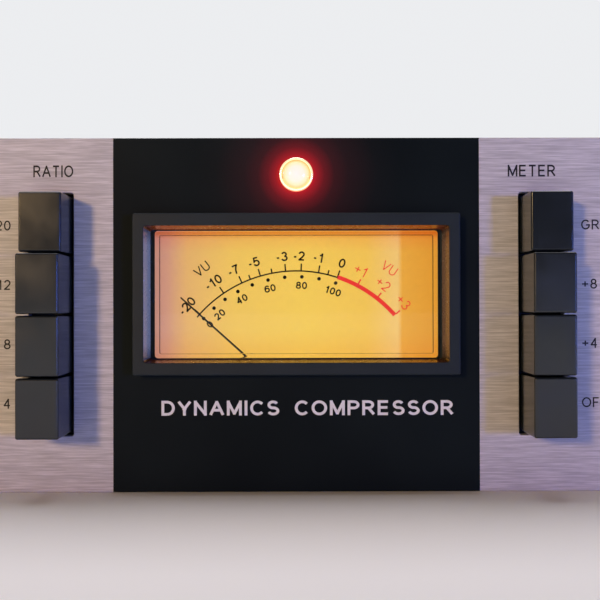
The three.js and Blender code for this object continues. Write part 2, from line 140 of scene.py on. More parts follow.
def obround(x, z, width, height):
    return rounded(x, z, width, height, height / 2 - 0.001, 12)


def polar(x, z, radius_at, count):
    """An outline whose radius depends on the angle in degrees."""
    steps = [360 * step / count for step in range(count)]

    def outline(grow=0.0):
        return [around(x, z, radius_at(degrees) + grow, degrees) for degrees in steps]

    return outline


def circle(x, z, radius, count=64):
    return polar(x, z, lambda degrees: radius, count)


def hexagon(across):
    """The radius of a hexagon of that width across its flats."""
    return lambda degrees: across / 2 / math.cos(math.radians((degrees + 30) % 60 - 30))


def cross(reach, half_arm):
    """The radius of a cross-shaped recess."""

    def radius_at(degrees):
        away = math.radians(abs((degrees + 45) % 90 - 45))
        return min(reach, half_arm / math.sin(away) if away > 1e-6 else reach)

    return radius_at


def fluted(radius, flutes, depth):
    """The radius of a circle with rounded flutes."""
    return lambda degrees: radius - depth * max(0.0, math.cos(math.radians(degrees) * flutes)) ** 2


def through(points):
    """An outline through points in anticlockwise order, each grown along the bisector of its edges."""

    def outline(grow=0.0):
        result = []
        for index, point in enumerate(points):
            before = Vector(point) - Vector(points[index - 1])
            after = Vector(points[(index + 1) % len(points)]) - Vector(point)
            normals = [Vector((edge.y, -edge.x)).normalized() for edge in (before, after)]
            shift = (normals[0] + normals[1]) * grow / (1 + normals[0].dot(normals[1]))
            result.append((point[0] + shift.x, point[1] + shift.y))
        return result

    return outline


def at_depth(outline, y):
    return [(x, y, z) for x, z in outline]


def skin(rings, closed=False):
    """Joins rings of as many points each; the ends are capped unless the rings close on themselves."""
    count = len(rings[0])
    points = [point for ring in rings for point in ring]
    faces = []
    for index in range(len(rings) if closed else len(rings) - 1):
        a = index * count
        b = (index + 1) % len(rings) * count
        for k in range(count):
            following = (k + 1) % count
            faces.append((a + k, a + following, b + following, b + k))
    if not closed:
        faces.append(tuple(range(count)))
        faces.append(tuple(range(len(points) - count, len(points))))
    return points, faces


def edge_steps(radius, steps=3):
    """Inset and depth along a rounded edge, from the face to the wall."""
    angles = [math.radians(90) * step / steps for step in range(steps + 1)]
    return [(radius * (1 - math.sin(angle)), radius * (1 - math.cos(angle))) for angle in angles]


def plate(outer, holes, y0, y1, edge):
    """A sheet with holes and rounded edges between two depths."""
    front = [(y0 + depth, inset) for inset, depth in edge_steps(edge, 2)]
    back = [(y1 - depth, inset) for inset, depth in reversed(edge_steps(edge, 2))]
    levels = front + back
    caps = {0: [], len(levels) - 1: []}
    shapes, starts, total = [], [], 0
    for contour, sign in [(outer, -1)] + [(hole, 1) for hole in holes]:
        rings = [at_depth(contour(sign * inset), y) for y, inset in levels]
        points, faces = skin(rings)
        shapes.append((points, faces[:-2]))
        count = len(rings[0])
        for level in caps:
            caps[level].append([Vector((x, z, 0)) for x, _, z in rings[level]])
        starts.append((total, count))
        total += len(points)
    points, faces = merge(*shapes)
    for level, loops in caps.items():
        lookup = [start + level * count + k for start, count in starts for k in range(count)]
        faces += [tuple(lookup[index] for index in triangle) for triangle in tessellate_polygon(loops)]
    return points, faces


def lying(outer, holes, z0, z1, edge):
    """A plate in x and y between two heights."""
    tilt = Matrix(((1, 0, 0, 0), (0, 0, 1, 0), (0, -1, 0, 0), (0, 0, 0, 1)))
    return changed(plate(outer, holes, -z1, -z0, edge), tilt)


def block(low, high, edge):
    """A box along Y with all its edges rounded."""
    x, z = (low[0] + high[0]) / 2, (low[2] + high[2]) / 2
    outline = rounded(x, z, high[0] - low[0], high[2] - low[2], edge * 1.01, 4)
    front = [at_depth(outline(-inset), low[1] + depth) for inset, depth in edge_steps(edge)]
    back = [at_depth(outline(-inset), high[1] - depth) for inset, depth in reversed(edge_steps(edge))]
    return skin(front + back)


def bar(x, z, reach_x, reach_z, y0, y1, edge):
    """A block about a line along Y, that reaches so far to each side of it."""
    return block((x - reach_x, y0, z - reach_z), (x + reach_x, y1, z + reach_z), edge)


def lathe(x, z, profile, count=64, closed=False):
    """A solid turned about the line along Y through x and z, from points of radius and depth."""
    return skin([at_depth(circle(x, z, radius, count)(), y) for radius, y in profile], closed)


def add_piece(name, shape, finish, body=CHASSIS, slot=None, replaces=(), smooth=35):
    """Makes a piece; its finish is the name of one, or a list of materials made for it."""
    points, faces = shape
    mesh = bpy.data.meshes.new(name)
    mesh.from_pydata([Vector(point) * MM for point in points], [], faces)
    cleaned = bmesh.new()
    cleaned.from_mesh(mesh)
    bmesh.ops.remove_doubles(cleaned, verts=cleaned.verts, dist=1e-7)
    bmesh.ops.recalc_face_normals(cleaned, faces=cleaned.faces)
    cleaned.to_mesh(mesh)
    cleaned.free()
    mesh.shade_smooth()
    mesh.set_sharp_from_angle(angle=math.radians(smooth))
    piece = bpy.data.objects.new(name, mesh)
    bpy.context.scene.collection.objects.link(piece)
    named = isinstance(finish, str)
    for material in [MATERIAL[finish]] if named else finish:
        mesh.materials.append(material)
    piece.modifiers.new("weighted_normals", "WEIGHTED_NORMAL").keep_sharp = True
    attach(piece, body)
    if named and slot is None:
        slot = SLOT[finish]
    if replaces:
        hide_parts(*replaces)
    return piece


# ---- flat shapes and lettering ----


def stencil(polygons, y0, y1):
    """Flat polygons in x and z, joined where they overlap and made into a thin solid between two depths."""
    corners, outlines = [], []
    for polygon in polygons:
        area = sum(a[0] * b[1] - b[0] * a[1] for a, b in zip(polygon, polygon[1:] + polygon[:1]))
        ordered = polygon if area > 0 else polygon[::-1]
        outlines.append(list(range(len(corners), len(corners) + len(ordered))))
        corners += [Vector(point) for point in ordered]
    flat, _, pieces, _, _, sources = delaunay_2d_cdt(corners, [], outlines, 1, 1e-5)
    triangles = [piece for piece, source in zip(pieces, sources) if source]  # the rest are holes
    count = len(flat)
    points = [(point.x, y, point.y) for y in (y0, y1) for point in flat]
    faces = [tuple(triangle) for triangle in triangles]
    faces += [tuple(count + index for index in reversed(triangle)) for triangle in triangles]
    edges = {edge for t in triangles for edge in ((t[0], t[1]), (t[1], t[2]), (t[2], t[0]))}
    faces += [(b, a, count + a, count + b) for a, b in sorted(edges) if (b, a) not in edges]
    return points, faces


def bow(x, z, reach_x, reach_z, start, end):
    """Points along an ellipse, between two angles in degrees."""
    count = max(2, round(abs(end - start) / 15))
    angles = [math.radians(start + (end - start) * step / count) for step in range(count + 1)]
    return [(x + reach_x * math.cos(angle), z + reach_z * math.sin(angle)) for angle in angles]


def characters():
    """Plain sans characters: the width, and the middle lines of the strokes in a cell one unit high."""
    stem = [(0, 0), (0, 1)]
    bowl = [(0, 1)] + bow(0.3, 0.74, 0.27, 0.26, 90, -90) + [(0, 0.48)]
    zero = bow(0.265, 0.5, 0.265, 0.5, 0, 360)
    six = [bow(0.27, 0.31, 0.27, 0.31, 0, 360), bow(0.31, 0.52, 0.31, 0.48, 38, 190)]
    return {
        "0": (0.53, [zero]),
        "1": (0.4, [[(0.3, 0), (0.3, 1), (0.22, 0.86), (0.05, 0.75)]]),
        "2": (0.53, [bow(0.27, 0.72, 0.25, 0.28, 172, -35) + [(0.3, 0.3), (0.0, 0.0), (0.53, 0.0)]]),
        "3": (0.53, [bow(0.26, 0.76, 0.22, 0.24, 160, -90), bow(0.26, 0.26, 0.27, 0.26, 90, -165)]),
        "4": (0.56, [[(0.56, 0.28), (0.0, 0.28), (0.4, 1), (0.4, 0)]]),
        "5": (0.53, [[(0.48, 1), (0.1, 1), (0.04, 0.5)] + bow(0.26, 0.32, 0.27, 0.32, 125, -165)]),
        "6": (0.54, six),
        "7": (0.53, [[(0, 1), (0.53, 1), (0.36, 0.72), (0.24, 0.4), (0.18, 0)]]),
        "8": (0.53, [bow(0.265, 0.76, 0.215, 0.24, 0, 360), bow(0.265, 0.26, 0.265, 0.26, 0, 360)]),
        "+": (0.6, [[(0, 0.47), (0.6, 0.47)], [(0.3, 0.17), (0.3, 0.77)]]),
        "-": (0.26, [[(0, 0.36), (0.26, 0.36)]]),
        "A": (0.74, [[(0, 0), (0.37, 1), (0.74, 0)], [(0.13, 0.33), (0.61, 0.33)]]),
        "C": (0.7, [bow(0.38, 0.5, 0.38, 0.5, 42, 318)]),
        "D": (0.66, [[(0.28, 0), (0, 0), (0, 1)] + bow(0.28, 0.5, 0.38, 0.5, 90, -90)]),
        "E": (0.56, [[(0.56, 1), (0, 1), (0, 0), (0.56, 0)], [(0, 0.52), (0.52, 0.52)]]),
        "F": (0.52, [[(0.52, 1), (0, 1), (0, 0)], [(0, 0.5), (0.46, 0.5)]]),
        "G": (0.76, [bow(0.38, 0.5, 0.38, 0.5, 42, 335) + [(0.74, 0.46), (0.42, 0.46)]]),
        "I": (0.0, [stem]),
        "K": (0.64, [stem, [(0.62, 1), (0, 0.38)], [(0.2, 0.57), (0.64, 0)]]),
        "L": (0.5, [[(0, 1), (0, 0), (0.5, 0)]]),
        "M": (0.76, [[(0, 0), (0, 1), (0.38, 0.05), (0.76, 1), (0.76, 0)]]),
        "N": (0.62, [[(0, 0), (0, 1), (0.62, 0), (0.62, 1)]]),
        "O": (0.8, [bow(0.4, 0.5, 0.4, 0.5, 0, 360)]),
        "P": (0.57, [stem, bowl]),
        "R": (0.62, [stem, bowl, [(0.3, 0.48), (0.62, 0)]]),
        "S": (0.6, [bow(0.3, 0.75, 0.26, 0.25, 25, 255) + bow(0.31, 0.255, 0.29, 0.255, 75, -160)]),
        "T": (0.64, [[(0, 1), (0.64, 1)], [(0.32, 1), (0.32, 0)]]),
        "U": (0.62, [[(0, 1)] + bow(0.31, 0.3, 0.31, 0.3, 180, 360) + [(0.62, 1)]]),
        "V": (0.68, [[(0, 1), (0.34, 0), (0.68, 1)]]),
        "Y": (0.68, [[(0, 1), (0.34, 0.44), (0.68, 1)], [(0.34, 0.44), (0.34, 0)]]),
    }


CHARACTERS = characters()
CHARACTER_GAP, SPACE = 0.15, 0.4  # in heights of a capital
CORNER = math.radians(50)  # a stroke that turns more than this at a point gets a square corner
HAIRPIN = math.radians(110)  # a corner sharper than this isn't mitred


def ribbon(points, thick):
    """Four-sided pieces that follow a stroke; it is cut at its sharp corners, and their ends overlap."""
    points = [Vector(point) for point in points]
    runs, run = [], [points[0]]
    for index in range(1, len(points)):
        run.append(points[index])
        if index + 1 < len(points):
            turn = (points[index] - points[index - 1]).angle(points[index + 1] - points[index])
            if turn > CORNER:
                runs.append((run, turn))
                run = [points[index]]
    runs.append((run, 0))
    closed = (points[0] - points[-1]).length < 1e-6 and len(runs) == 1
    quads, before = [], 0
    for run, after in runs:
        start, end = (run[1] - run[0]).normalized(), (run[-1] - run[-2]).normalized()
        run[0] = run[0] - start * corner_reach(before, thick, start)
        run[-1] = run[-1] + end * corner_reach(after, thick, end)
        sides = [stroke_side(run, index, thick, closed) for index in range(len(run))]
        for (a, b), (c, d) in zip(sides, sides[1:]):
            quads.append([tuple(a), tuple(b), tuple(d), tuple(c)])
        before = after
    return quads


def corner_reach(turn, thick, direction):
    """How far a run goes on past a sharp corner; an upright one goes on to the edge of the cell."""
    if turn > HAIRPIN:
        return thick * (0.5 if abs(direction.x) < 0.1 else 0.3)
    return thick / 2 * math.tan(turn / 2)


def stroke_side(run, index, thick, closed):
    """The two points beside a point of a run, on the bisector of its corner."""
    before = run[index] - run[index - 1] if index or closed else run[1] - run[0]
    after = run[index + 1] - run[index] if index + 1 < len(run) else run[index] - run[index - 1]
    if closed and index == 0:
        before = run[-1] - run[-2]
    if closed and index == len(run) - 1:
        after = run[1] - run[0]
    normals = [Vector((-edge.y, edge.x)).normalized() for edge in (before, after)]
    shift = (normals[0] + normals[1]) * thick / 2 / (1 + normals[0].dot(normals[1]))
    return run[index] + shift, run[index] - shift


@functools.cache
def character(letter, thick):
    """A character as a thin solid one unit high, with strokes of that thickness, and its width."""
    width, strokes = CHARACTERS[letter]
    quads = []
    for stroke in strokes:
        placed = [Vector((thick / 2 + x, thick / 2 + z * (1 - thick))) for x, z in stroke]
        for end, inner in ((0, 1), (-1, -2)):
            if stroke[end][1] in (0, 1):  # an open end goes on to the edge of the cell
                away = (placed[end] - placed[inner]).normalized()
                placed[end] += away * thick / 2 * (1 - abs(away.x))
        quads += ribbon(placed, thick)
    return stencil(quads, -1.0, 0.0), width + thick


def lettering(text, height, x, z, y, turn=0.0, stretch=1.0, align="CENTER", thick=0.13, gap=CHARACTER_GAP):
    """A line of text on a surface at y: height is that of its capitals, turn is clockwise in degrees.

    A sign hangs in front of a number, which is aligned without it.
    """
    shapes, at, sign = [], 0.0, 0.0
    for letter in text:
        if letter == " ":
            at += SPACE
            continue
        shape, width = character(letter, thick)
        shapes.append(changed(shape, Matrix.Translation((at, 0, 0))))
        at += width + gap
        if letter in "+-":
            sign = at
    length = at - gap
    start = {"LEFT": 0, "CENTER": (sign + length) / 2, "RIGHT": length}[align]
    place = Matrix.Translation((x, y, z)) @ Matrix.Rotation(math.radians(turn), 4, "Y")
    size = Matrix.Diagonal((height * stretch, PRINT, height, 1)) @ Matrix.Translation((-start, 0, -0.5))
    return changed(merge(*shapes), place @ size)


# ---- materials ----


class Shader:
    """A material whose nodes end in one principled surface."""

    def __init__(self, name, **settings):
        self.material = bpy.data.materials.new(name)
        self.material.use_nodes = True
        self.tree = self.material.node_tree
        self.surface = self.tree.nodes["Principled BSDF"]
        for key, value in settings.items():
            self.surface.inputs[key.replace("_", " ").title().replace("Ior", "IOR")].default_value = value
        self.position = self.node("TexCoord").outputs["Object"]

    def fill(self, socket, value):
        """Links a socket to another, or gives it a value."""
        if isinstance(value, bpy.types.NodeSocket):
            self.tree.links.new(value, socket)
        else:
            socket.default_value = value

    def node(self, kind, inputs=None, **settings):
        node = self.tree.nodes.new("ShaderNode" + kind)
        for key, value in settings.items():
            setattr(node, key, value)
        for key, value in (inputs or {}).items():
            self.fill(node.inputs[key], value)
        return node

    def feed(self, socket, value):
        self.tree.links.new(value, self.surface.inputs[socket])

    def noise(self, per_mm, detail=3.0, roughness=0.55):
        """Noise with so many features per millimetre, the same or different along x, y and z."""
        scale = [value / MM for value in (per_mm if isinstance(per_mm, tuple) else (per_mm,) * 3)]
        vector = self.node("Mapping", {"Vector": self.position, "Scale": scale}).outputs["Vector"]
        inputs = {"Vector": vector, "Scale": 1.0, "Detail": detail, "Roughness": roughness}
        return self.node("TexNoise", inputs).outputs["Fac"]

    def stops(self, factor, stops):
        """Colours at places along a factor from 0 to 1."""
        node = self.node("ValToRGB", {"Fac": factor})
        elements = node.color_ramp.elements
        while len(elements) < len(stops):
            elements.new(0.5)
        for element, (place, colour) in zip(elements, stops):
            element.position = place
            element.color = colour
        return node.outputs["Color"]

    def ramp(self, factor, low, high, start=0.3, end=0.7):
        """Takes a factor from one colour to another."""
        return self.stops(factor, [(start, low), (end, high)])

    def span(self, factor, low, high, start=0.3, end=0.7):
        """Takes a factor from one number to another."""
        inputs = {"Value": factor, "From Min": start, "From Max": end, "To Min": low, "To Max": high}
        return self.node("MapRange", inputs).outputs["Result"]

    def bands(self, value, low, high, stops):
        """Colours at values that run from low to high."""
        places = [((at - low) / (high - low), colour) for at, colour in stops]
        return self.stops(self.span(value, 0.0, 1.0, low, high), places)

    def coordinate(self, axis, origin):
        """One coordinate of the point, in millimetres from an origin."""
        parts = self.node("SeparateXYZ", {"Vector": self.position})
        inputs = {0: parts.outputs[axis], 1: 1 / MM, 2: -origin}
        return self.node("Math", inputs, operation="MULTIPLY_ADD").outputs["Value"]

    def distance(self, x, z):
        """Millimetres from the line along Y through x and z."""
        flat = self.node("CombineXYZ", {"X": self.coordinate("X", x), "Y": self.coordinate("Z", z)})
        return self.node("VectorMath", {0: flat.outputs["Vector"]}, operation="LENGTH").outputs["Value"]

    def mixed(self, factor, first, second, blend="MIX"):
        node = self.node("Mix", data_type="RGBA", blend_type=blend)
        for index, value in ((0, factor), (6, first), (7, second)):
            self.fill(node.inputs[index], value)
        return node.outputs[2]

    def glow(self, colour, strength=1.0):
        self.surface.inputs["Emission Strength"].default_value = strength
        self.feed("Emission Color", colour)

    def bump(self, height, strength, distance=0.05):
        node = self.node("Bump", {"Height": height, "Strength": strength, "Distance": distance * MM})
        self.feed("Normal", node.outputs["Normal"])


def rgb(red, green, blue):
    """A colour given as it looks on a screen, 0 to 255, in linear light."""
    return tuple(
        value / 12.92 if value <= 0.04045 else ((value + 0.055) / 1.055) ** 2.4
        for value in (red / 255, green / 255, blue / 255)
    ) + (1.0,)


def shade(colour, factor):
    return tuple(min(1.0, value * factor) for value in colour[:3]) + (1.0,)


def cloudy(name, colour, shades, per_mm, detail, roughness, **settings):
    """A surface whose colour and roughness drift together, each between two values."""
    shader = Shader(name, **settings)
    cloud = shader.noise(per_mm, detail)
    low, high = [shade(colour, factor) for factor in shades]
    shader.feed("Base Color", shader.ramp(cloud, low, high))
    shader.feed("Roughness", shader.span(cloud, *roughness))
    return shader


def brushed_metal(name, colour, roughness, strokes):
    """Satin metal with fine strokes along the axis that has the fewest features per millimetre."""
    shader = Shader(name, metallic=0.28)
    fine = shader.noise(strokes, detail=4, roughness=0.65)
    broad = shader.noise(tuple(value * 0.6 for value in strokes), detail=2)
    depth = shader.node("Math", {0: fine, 1: broad}, operation="MULTIPLY").outputs["Value"]
    shader.feed("Base Color", shader.ramp(depth, shade(colour, 0.78), shade(colour, 1.2), 0.15, 0.37))
    shader.feed("Roughness", shader.span(fine, roughness - 0.07, roughness + 0.09))
    shader.bump(fine, 0.3, 0.01)
    return shader.material


def moulded_plastic(name, colour, roughness, grain, specular):
    """Moulded plastic with a fine grain, slightly uneven gloss and traces of handling."""
    gloss = (roughness - 0.05, roughness + 0.07)
    shader = cloudy(name, colour, (0.85, 1.15), 0.07, 3, gloss, specular_ior_level=specular)
    shader.bump(shader.noise(7, detail=2), grain, 0.01)
    return shader.material


def powder_coat(name, colour):
    """Textured paint on sheet steel."""
    shader = Shader(name, specular_ior_level=0.4)
    fine, broad = shader.noise(2.2), shader.noise(0.03, detail=2)
    shader.feed("Base Color", shader.ramp(broad, shade(colour, 0.8), shade(colour, 1.2)))
    shader.feed("Roughness", shader.span(fine, 0.45, 0.67))
    shader.bump(fine, 0.35, 0.06)
    return shader.material


def plated(name, colour, roughness):
    """Plated or machined metal with faint cloudiness."""
    gloss = (roughness - 0.06, roughness + 0.1)
    shader = cloudy(name, colour, (0.88, 1.0), 0.4, 4, gloss, metallic=1.0)
    shader.bump(shader.noise(5), 0.05, 0.01)
    return shader.material


def turned_metal(name, colour, x, z, roughness=0.3):
    """Metal faced on a lathe: fine circles around the axis through x and z."""
    shader = Shader(name, metallic=1.0)
    inputs = {"W": shader.distance(x, z), "Scale": 5, "Detail": 3.0}
    rings = shader.node("TexNoise", inputs, noise_dimensions="1D").outputs["Fac"]
    shader.feed("Base Color", shader.ramp(rings, shade(colour, 0.85), shade(colour, 1.05)))
    shader.feed("Roughness", shader.span(rings, roughness - 0.06, roughness + 0.08))
    shader.bump(rings, 0.25, 0.01)
    return shader.material


def ink(name, colour):
    """Screen-printed ink, a little uneven."""
    return cloudy(name, colour, (0.92, 1.0), 0.8, 3, (0.45, 0.55), specular_ior_level=0.3).material


def clear_plastic(name):
    shader = Shader(
        name, base_color=(1, 1, 1, 1), transmission_weight=1.0, ior=1.2, specular_ior_level=0.04
    )
    shader.feed("Roughness", shader.span(shader.noise(0.15), 0.0, 0.02))
    return shader.material


MATERIAL = {
    "silver": brushed_metal("panel_silver", rgb(196, 193, 196), 0.62, (0.16, 5.0, 4.2)),
    "side": brushed_metal("side_aluminium", rgb(168, 170, 173), 0.42, (3.0, 0.03, 6.0)),
    "bezel": moulded_plastic("bezel_plastic", rgb(27, 37, 42), 0.5, 0.3, 0.25),
    "button": moulded_plastic("button_plastic", rgb(25, 31, 35), 0.2, 0.04, 0.6),
    "knob": moulded_plastic("knob_plastic", rgb(20, 20, 22), 0.3, 0.06, 0.45),
    "pointer": moulded_plastic("pointer_lacquer", rgb(22, 14, 10), 0.45, 0.02, 0.3),
    "connector": moulded_plastic("connector_plastic", rgb(24, 24, 26), 0.4, 0.15, 0.4),
    "switch": moulded_plastic("switch_plastic", rgb(34, 34, 36), 0.5, 0.2, 0.4),
    "board": moulded_plastic("solder_mask", rgb(22, 84, 44), 0.3, 0.05, 0.5),
    "sleeve": moulded_plastic("capacitor_sleeve", rgb(24, 30, 66), 0.3, 0.05, 0.5),
    "tape": moulded_plastic("winding_tape", rgb(196, 140, 40), 0.35, 0.3, 0.5),
    "coat": powder_coat("black_powder_coat", rgb(30, 31, 33)),
    "aluminium": plated("satin_aluminium", rgb(170, 172, 175), 0.38),
    "zinc": plated("zinc_plate", rgb(186, 187, 186), 0.28),
    "dark_metal": plated("dark_plate", rgb(70, 70, 72), 0.35),
    "screw": plated("black_screw", rgb(42, 42, 44), 0.3),
    "chrome": plated("chrome", rgb(225, 224, 222), 0.12),
    "iron": plated("lacquered_iron", rgb(84, 86, 90), 0.5),
    "copper": plated("copper_wire", rgb(190, 110, 70), 0.35),
    "black_ink": ink("black_ink", rgb(24, 24, 26)),
    "white_ink": ink("white_ink", rgb(232, 232, 232)),
    "clear": clear_plastic("meter_cover_plastic"),
}
SLOT = {  # the slot for a finish, where a piece names no other; add_piece looks it up but stores it nowhere
    "button": "button",
    "knob": "knob",
    "pointer": "pointer",
    "connector": "inlet_plastic",
    "coat": "black_sheet",
    "side": "plain_aluminium",
    "zinc": "zinc",
    "dark_metal": "zinc",
    "chrome": "zinc",
    "clear": "clear_cover",
    "black_ink": "brushed_panel",
}


# ---- the lit meter ----

DIAL_LOW, DIAL_HIGH = box("meter_dial")
DIAL_REACH_X, DIAL_REACH_Z = 37, 17  # from the dial's middle to its edges
COVER_WALL = 1.0
MAJOR_TICK, MINOR_TICK, TICK_WIDTH = 1.9, 1.2, 0.36
OVERLOAD_WIDTH = 1.05  # of the red part of the arc
WALL_PAINTED_SHADE = 4.5  # length over which the painted light on a bezel wall fades into painted shade towards its ends


def percent_angle(percent):
    """Degrees from upright for a share of the reference voltage; both ends of the scale are closer."""
    away = (percent - 90) / 50
    return 10.5 + 39.8 * away - 0.5 * away**2 - 1.7 * away**3


def deflection(decibels):
    """Degrees from upright for a level, where 0 decibels is 100 percent of the voltage."""
    return percent_angle(100 * 10 ** (decibels / 20))


def on_dial(degrees, radius):
    angle = math.radians(degrees)
    return PIVOT_X + radius * math.sin(angle), PIVOT_Z + radius * math.cos(angle)


def dial_material():
    """Card lit from behind, with that light painted as its glow: amber, with painted salmon light at the
    left edge, a deeper orange painted shade at the right and painted shade along the top.
    """
    shader = Shader("dial_card", roughness=0.6, specular_ior_level=0.2)
    # painted light and shade across the card, not marks of the card itself
    across = shader.bands(shader.coordinate("X", METER_X), -DIAL_REACH_X, DIAL_REACH_X, [
        (-37, rgb(196, 138, 128)),
        (-33, rgb(214, 156, 130)),
        (-28, rgb(232, 182, 112)),
        (-16, rgb(243, 201, 98)),
        (2, rgb(247, 207, 92)),
        (18, rgb(246, 200, 88)),
        (26, rgb(246, 203, 122)),
        (27.2, rgb(238, 172, 66)),
        (37, rgb(228, 156, 52)),
    ])
    # painted shade darkening to orange along the top edge, under the bezel
    painted_light_upward = shader.bands(shader.coordinate("Z", METER_Z), -DIAL_REACH_Z, DIAL_REACH_Z, [
        (-17, rgb(255, 236, 214)),
        (-9, rgb(255, 255, 255)),
        (11, rgb(252, 250, 248)),
        (14.4, rgb(252, 230, 234)),
        (15.6, rgb(238, 178, 140)),
        (17, rgb(226, 140, 90)),
    ])
    lit = shader.mixed(1.0, across, painted_light_upward, "MULTIPLY")
    grain = shader.noise(1.2)
    fibres = shader.ramp(grain, (0.2, 0.1, 0.02, 1), (1, 0.9, 0.6, 1))
    # the glow paints the light of the lamps behind the card
    shader.glow(shader.mixed(0.06, lit, fibres, "MULTIPLY"), 0.93)
    shader.feed("Base Color", shader.mixed(1.0, lit, (0.12, 0.12, 0.12, 1), "MULTIPLY"))
    shader.bump(grain, 0.05)
    return shader.material


def dial_ink(name, colour, glow):
    """Ink on a translucent card: a little of the light behind comes through it."""
    shader = Shader(name, roughness=0.6, specular_ior_level=0.2)
    cloud = shader.noise(1.5)
    shader.feed("Base Color", shader.ramp(cloud, shade(colour, 0.85), colour))
    shader.glow(shader.ramp(cloud, shade(glow, 0.9), glow))
    return shader.material


def arc_band(radius, thick, start, end):
    """Flat four-sided pieces along an arc about the pivot."""
    count = 48
    angles = [start + (end - start) * step / count for step in range(count + 1)]
    sides = [(on_dial(angle, radius - thick / 2), on_dial(angle, radius + thick / 2)) for angle in angles]
    return [[a, b, d, c] for (a, b), (c, d) in zip(sides, sides[1:])]


def tick(degrees, length, start=0.0):
    """A line outwards from the arc, or from a distance outside it."""
    ends = [on_dial(degrees, SCALE_RADIUS + start), on_dial(degrees, SCALE_RADIUS + length)]
    return ribbon(ends, TICK_WIDTH)


def dial_label(text, degrees, outwards, height, thick):
    """A number at a distance outside the arc."""
    x, z = on_dial(degrees, SCALE_RADIUS + outwards)
    return lettering(text, height, x, z, DIAL_LOW.y, turn=degrees, thick=thick, gap=0.12)


def dial_marks():
    """The black and the red parts of the scale: decibels over the arc and percent under it."""
    black = arc_band(SCALE_RADIUS, TICK_WIDTH, REST_ANGLE - 1.8, deflection(0))
    red = arc_band(SCALE_RADIUS + 0.1, OVERLOAD_WIDTH, deflection(0), deflection(3))
    black_text, red_text = [], []
    for level in (-20, -10, -7, -5, -3, -2, -1, 0):
        degrees = REST_ANGLE if level == -20 else deflection(level)
        black += tick(degrees, MAJOR_TICK)
        black_text.append(dial_label(str(level), degrees, 3.85, 2.4, 0.17))
    for level in (1, 2, 3):
        red += tick(deflection(level), MAJOR_TICK, OVERLOAD_WIDTH / 2)
        red_text.append(dial_label(f"+{level}", deflection(level), 3.95, 2.6, 0.1))
    for level in (-6, -4, -0.5):
        black += tick(deflection(level), MINOR_TICK)
    for percent in (0, 20, 30, 40, 50, 60, 70, 80, 90, 100):
        degrees = percent_angle(percent) if percent else REST_ANGLE - 0.3
        black.append(circle(*on_dial(degrees, SCALE_RADIUS - 1.5), 0.47, 24)())
        if percent % 20 == 0:
            degrees = percent_angle(percent) if percent else REST_ANGLE - 0.4
            black_text.append(dial_label(str(percent), degrees, -3.7, 1.85, 0.19))
    y = DIAL_LOW.y
    black_text.append(lettering("VU", 2.45, METER_X - 24.25, METER_Z + 6.6, y, turn=-38, thick=0.12))
    red_text.append(lettering("VU", 2.45, METER_X + 23.9, METER_Z + 6.7, y, turn=35, thick=0.1))
    return [
        merge(stencil(lines, y - PRINT, y), *text) for lines, text in ((black, black_text), (red, red_text))
    ]


def meter_dial():
    card = block(DIAL_LOW, DIAL_HIGH, 0.15)
    add_piece("dial_card", card, [dial_material()], slot="dial", replaces=["meter_dial"])
    inks = [
        ("dial_scale", dial_ink("dial_black", rgb(14, 8, 4), rgb(10, 4, 1))),
        ("dial_overload_scale", dial_ink("dial_red", rgb(120, 30, 26), rgb(230, 52, 46))),
    ]
    for (name, material), marks in zip(inks, dial_marks()):
        add_piece(name, marks, [material], slot="dial", smooth=40)


def meter_pointer():
    """A tapered blade with a counterweight tail and an arbor, turned to where it rests."""
    blade_y = FACE + 6.15
    hub_back = FACE + 7.2
    arbor_back = box("meter_pointer")[1].y
    tip = 39.8
    sections = ((0.8, 0.3, 0.12), (8, 0.27, 0.1), (tip - 3, 0.21, 0.06), (tip, 0.17, 0.05))
    blade = skin([
        [(-half, blade_y - thick, z), (half, blade_y - thick, z),
         (half, blade_y + thick, z), (-half, blade_y + thick, z)]
        for z, half, thick in sections
    ])
    tail = block((-0.55, blade_y - 0.25, -6.4), (0.55, blade_y + 0.25, -0.8), 0.12)
    weight = lathe(0, -5.2, [(0.9, blade_y - 0.55), (1.0, blade_y - 0.45), (1.0, blade_y + 0.3)], 32)
    hub = lathe(0, 0, [(1.2, FACE + 5.6), (1.65, FACE + 5.9), (1.65, hub_back)], 40)
    arbor = lathe(0, 0, [(0.6, hub_back), (0.6, arbor_back)], 24)
    turn = Matrix.Rotation(math.radians(REST_ANGLE), 4, "Y")
    shape = changed(merge(blade, tail, weight, hub, arbor), Matrix.Translation((PIVOT_X, 0, PIVOT_Z)) @ turn)
    add_piece("pointer", shape, "pointer", "meter_movement", replaces=["meter_pointer"])


def wall_material(name, colour, painted_glow, axis, reach):
    """Smooth plastic with a painted glow standing in for the light of the lit dial and the room's lamps,
    fading into painted shade in the corners.
    """
    shader = cloudy(name, colour, (0.85, 1.0), 0.25, 3, (0.2, 0.32), specular_ior_level=0.5)
    along = shader.coordinate(axis, METER_X if axis == "X" else METER_Z)
    # painted shade at the ends of the wall, painted glow between them
    dark = shade(painted_glow, 0.05)
    lit = reach - WALL_PAINTED_SHADE
    stops = [(-reach, dark), (-lit, painted_glow), (lit, painted_glow), (reach, dark)]
    shader.glow(shader.bands(along, -reach, reach, stops))
    return shader.material


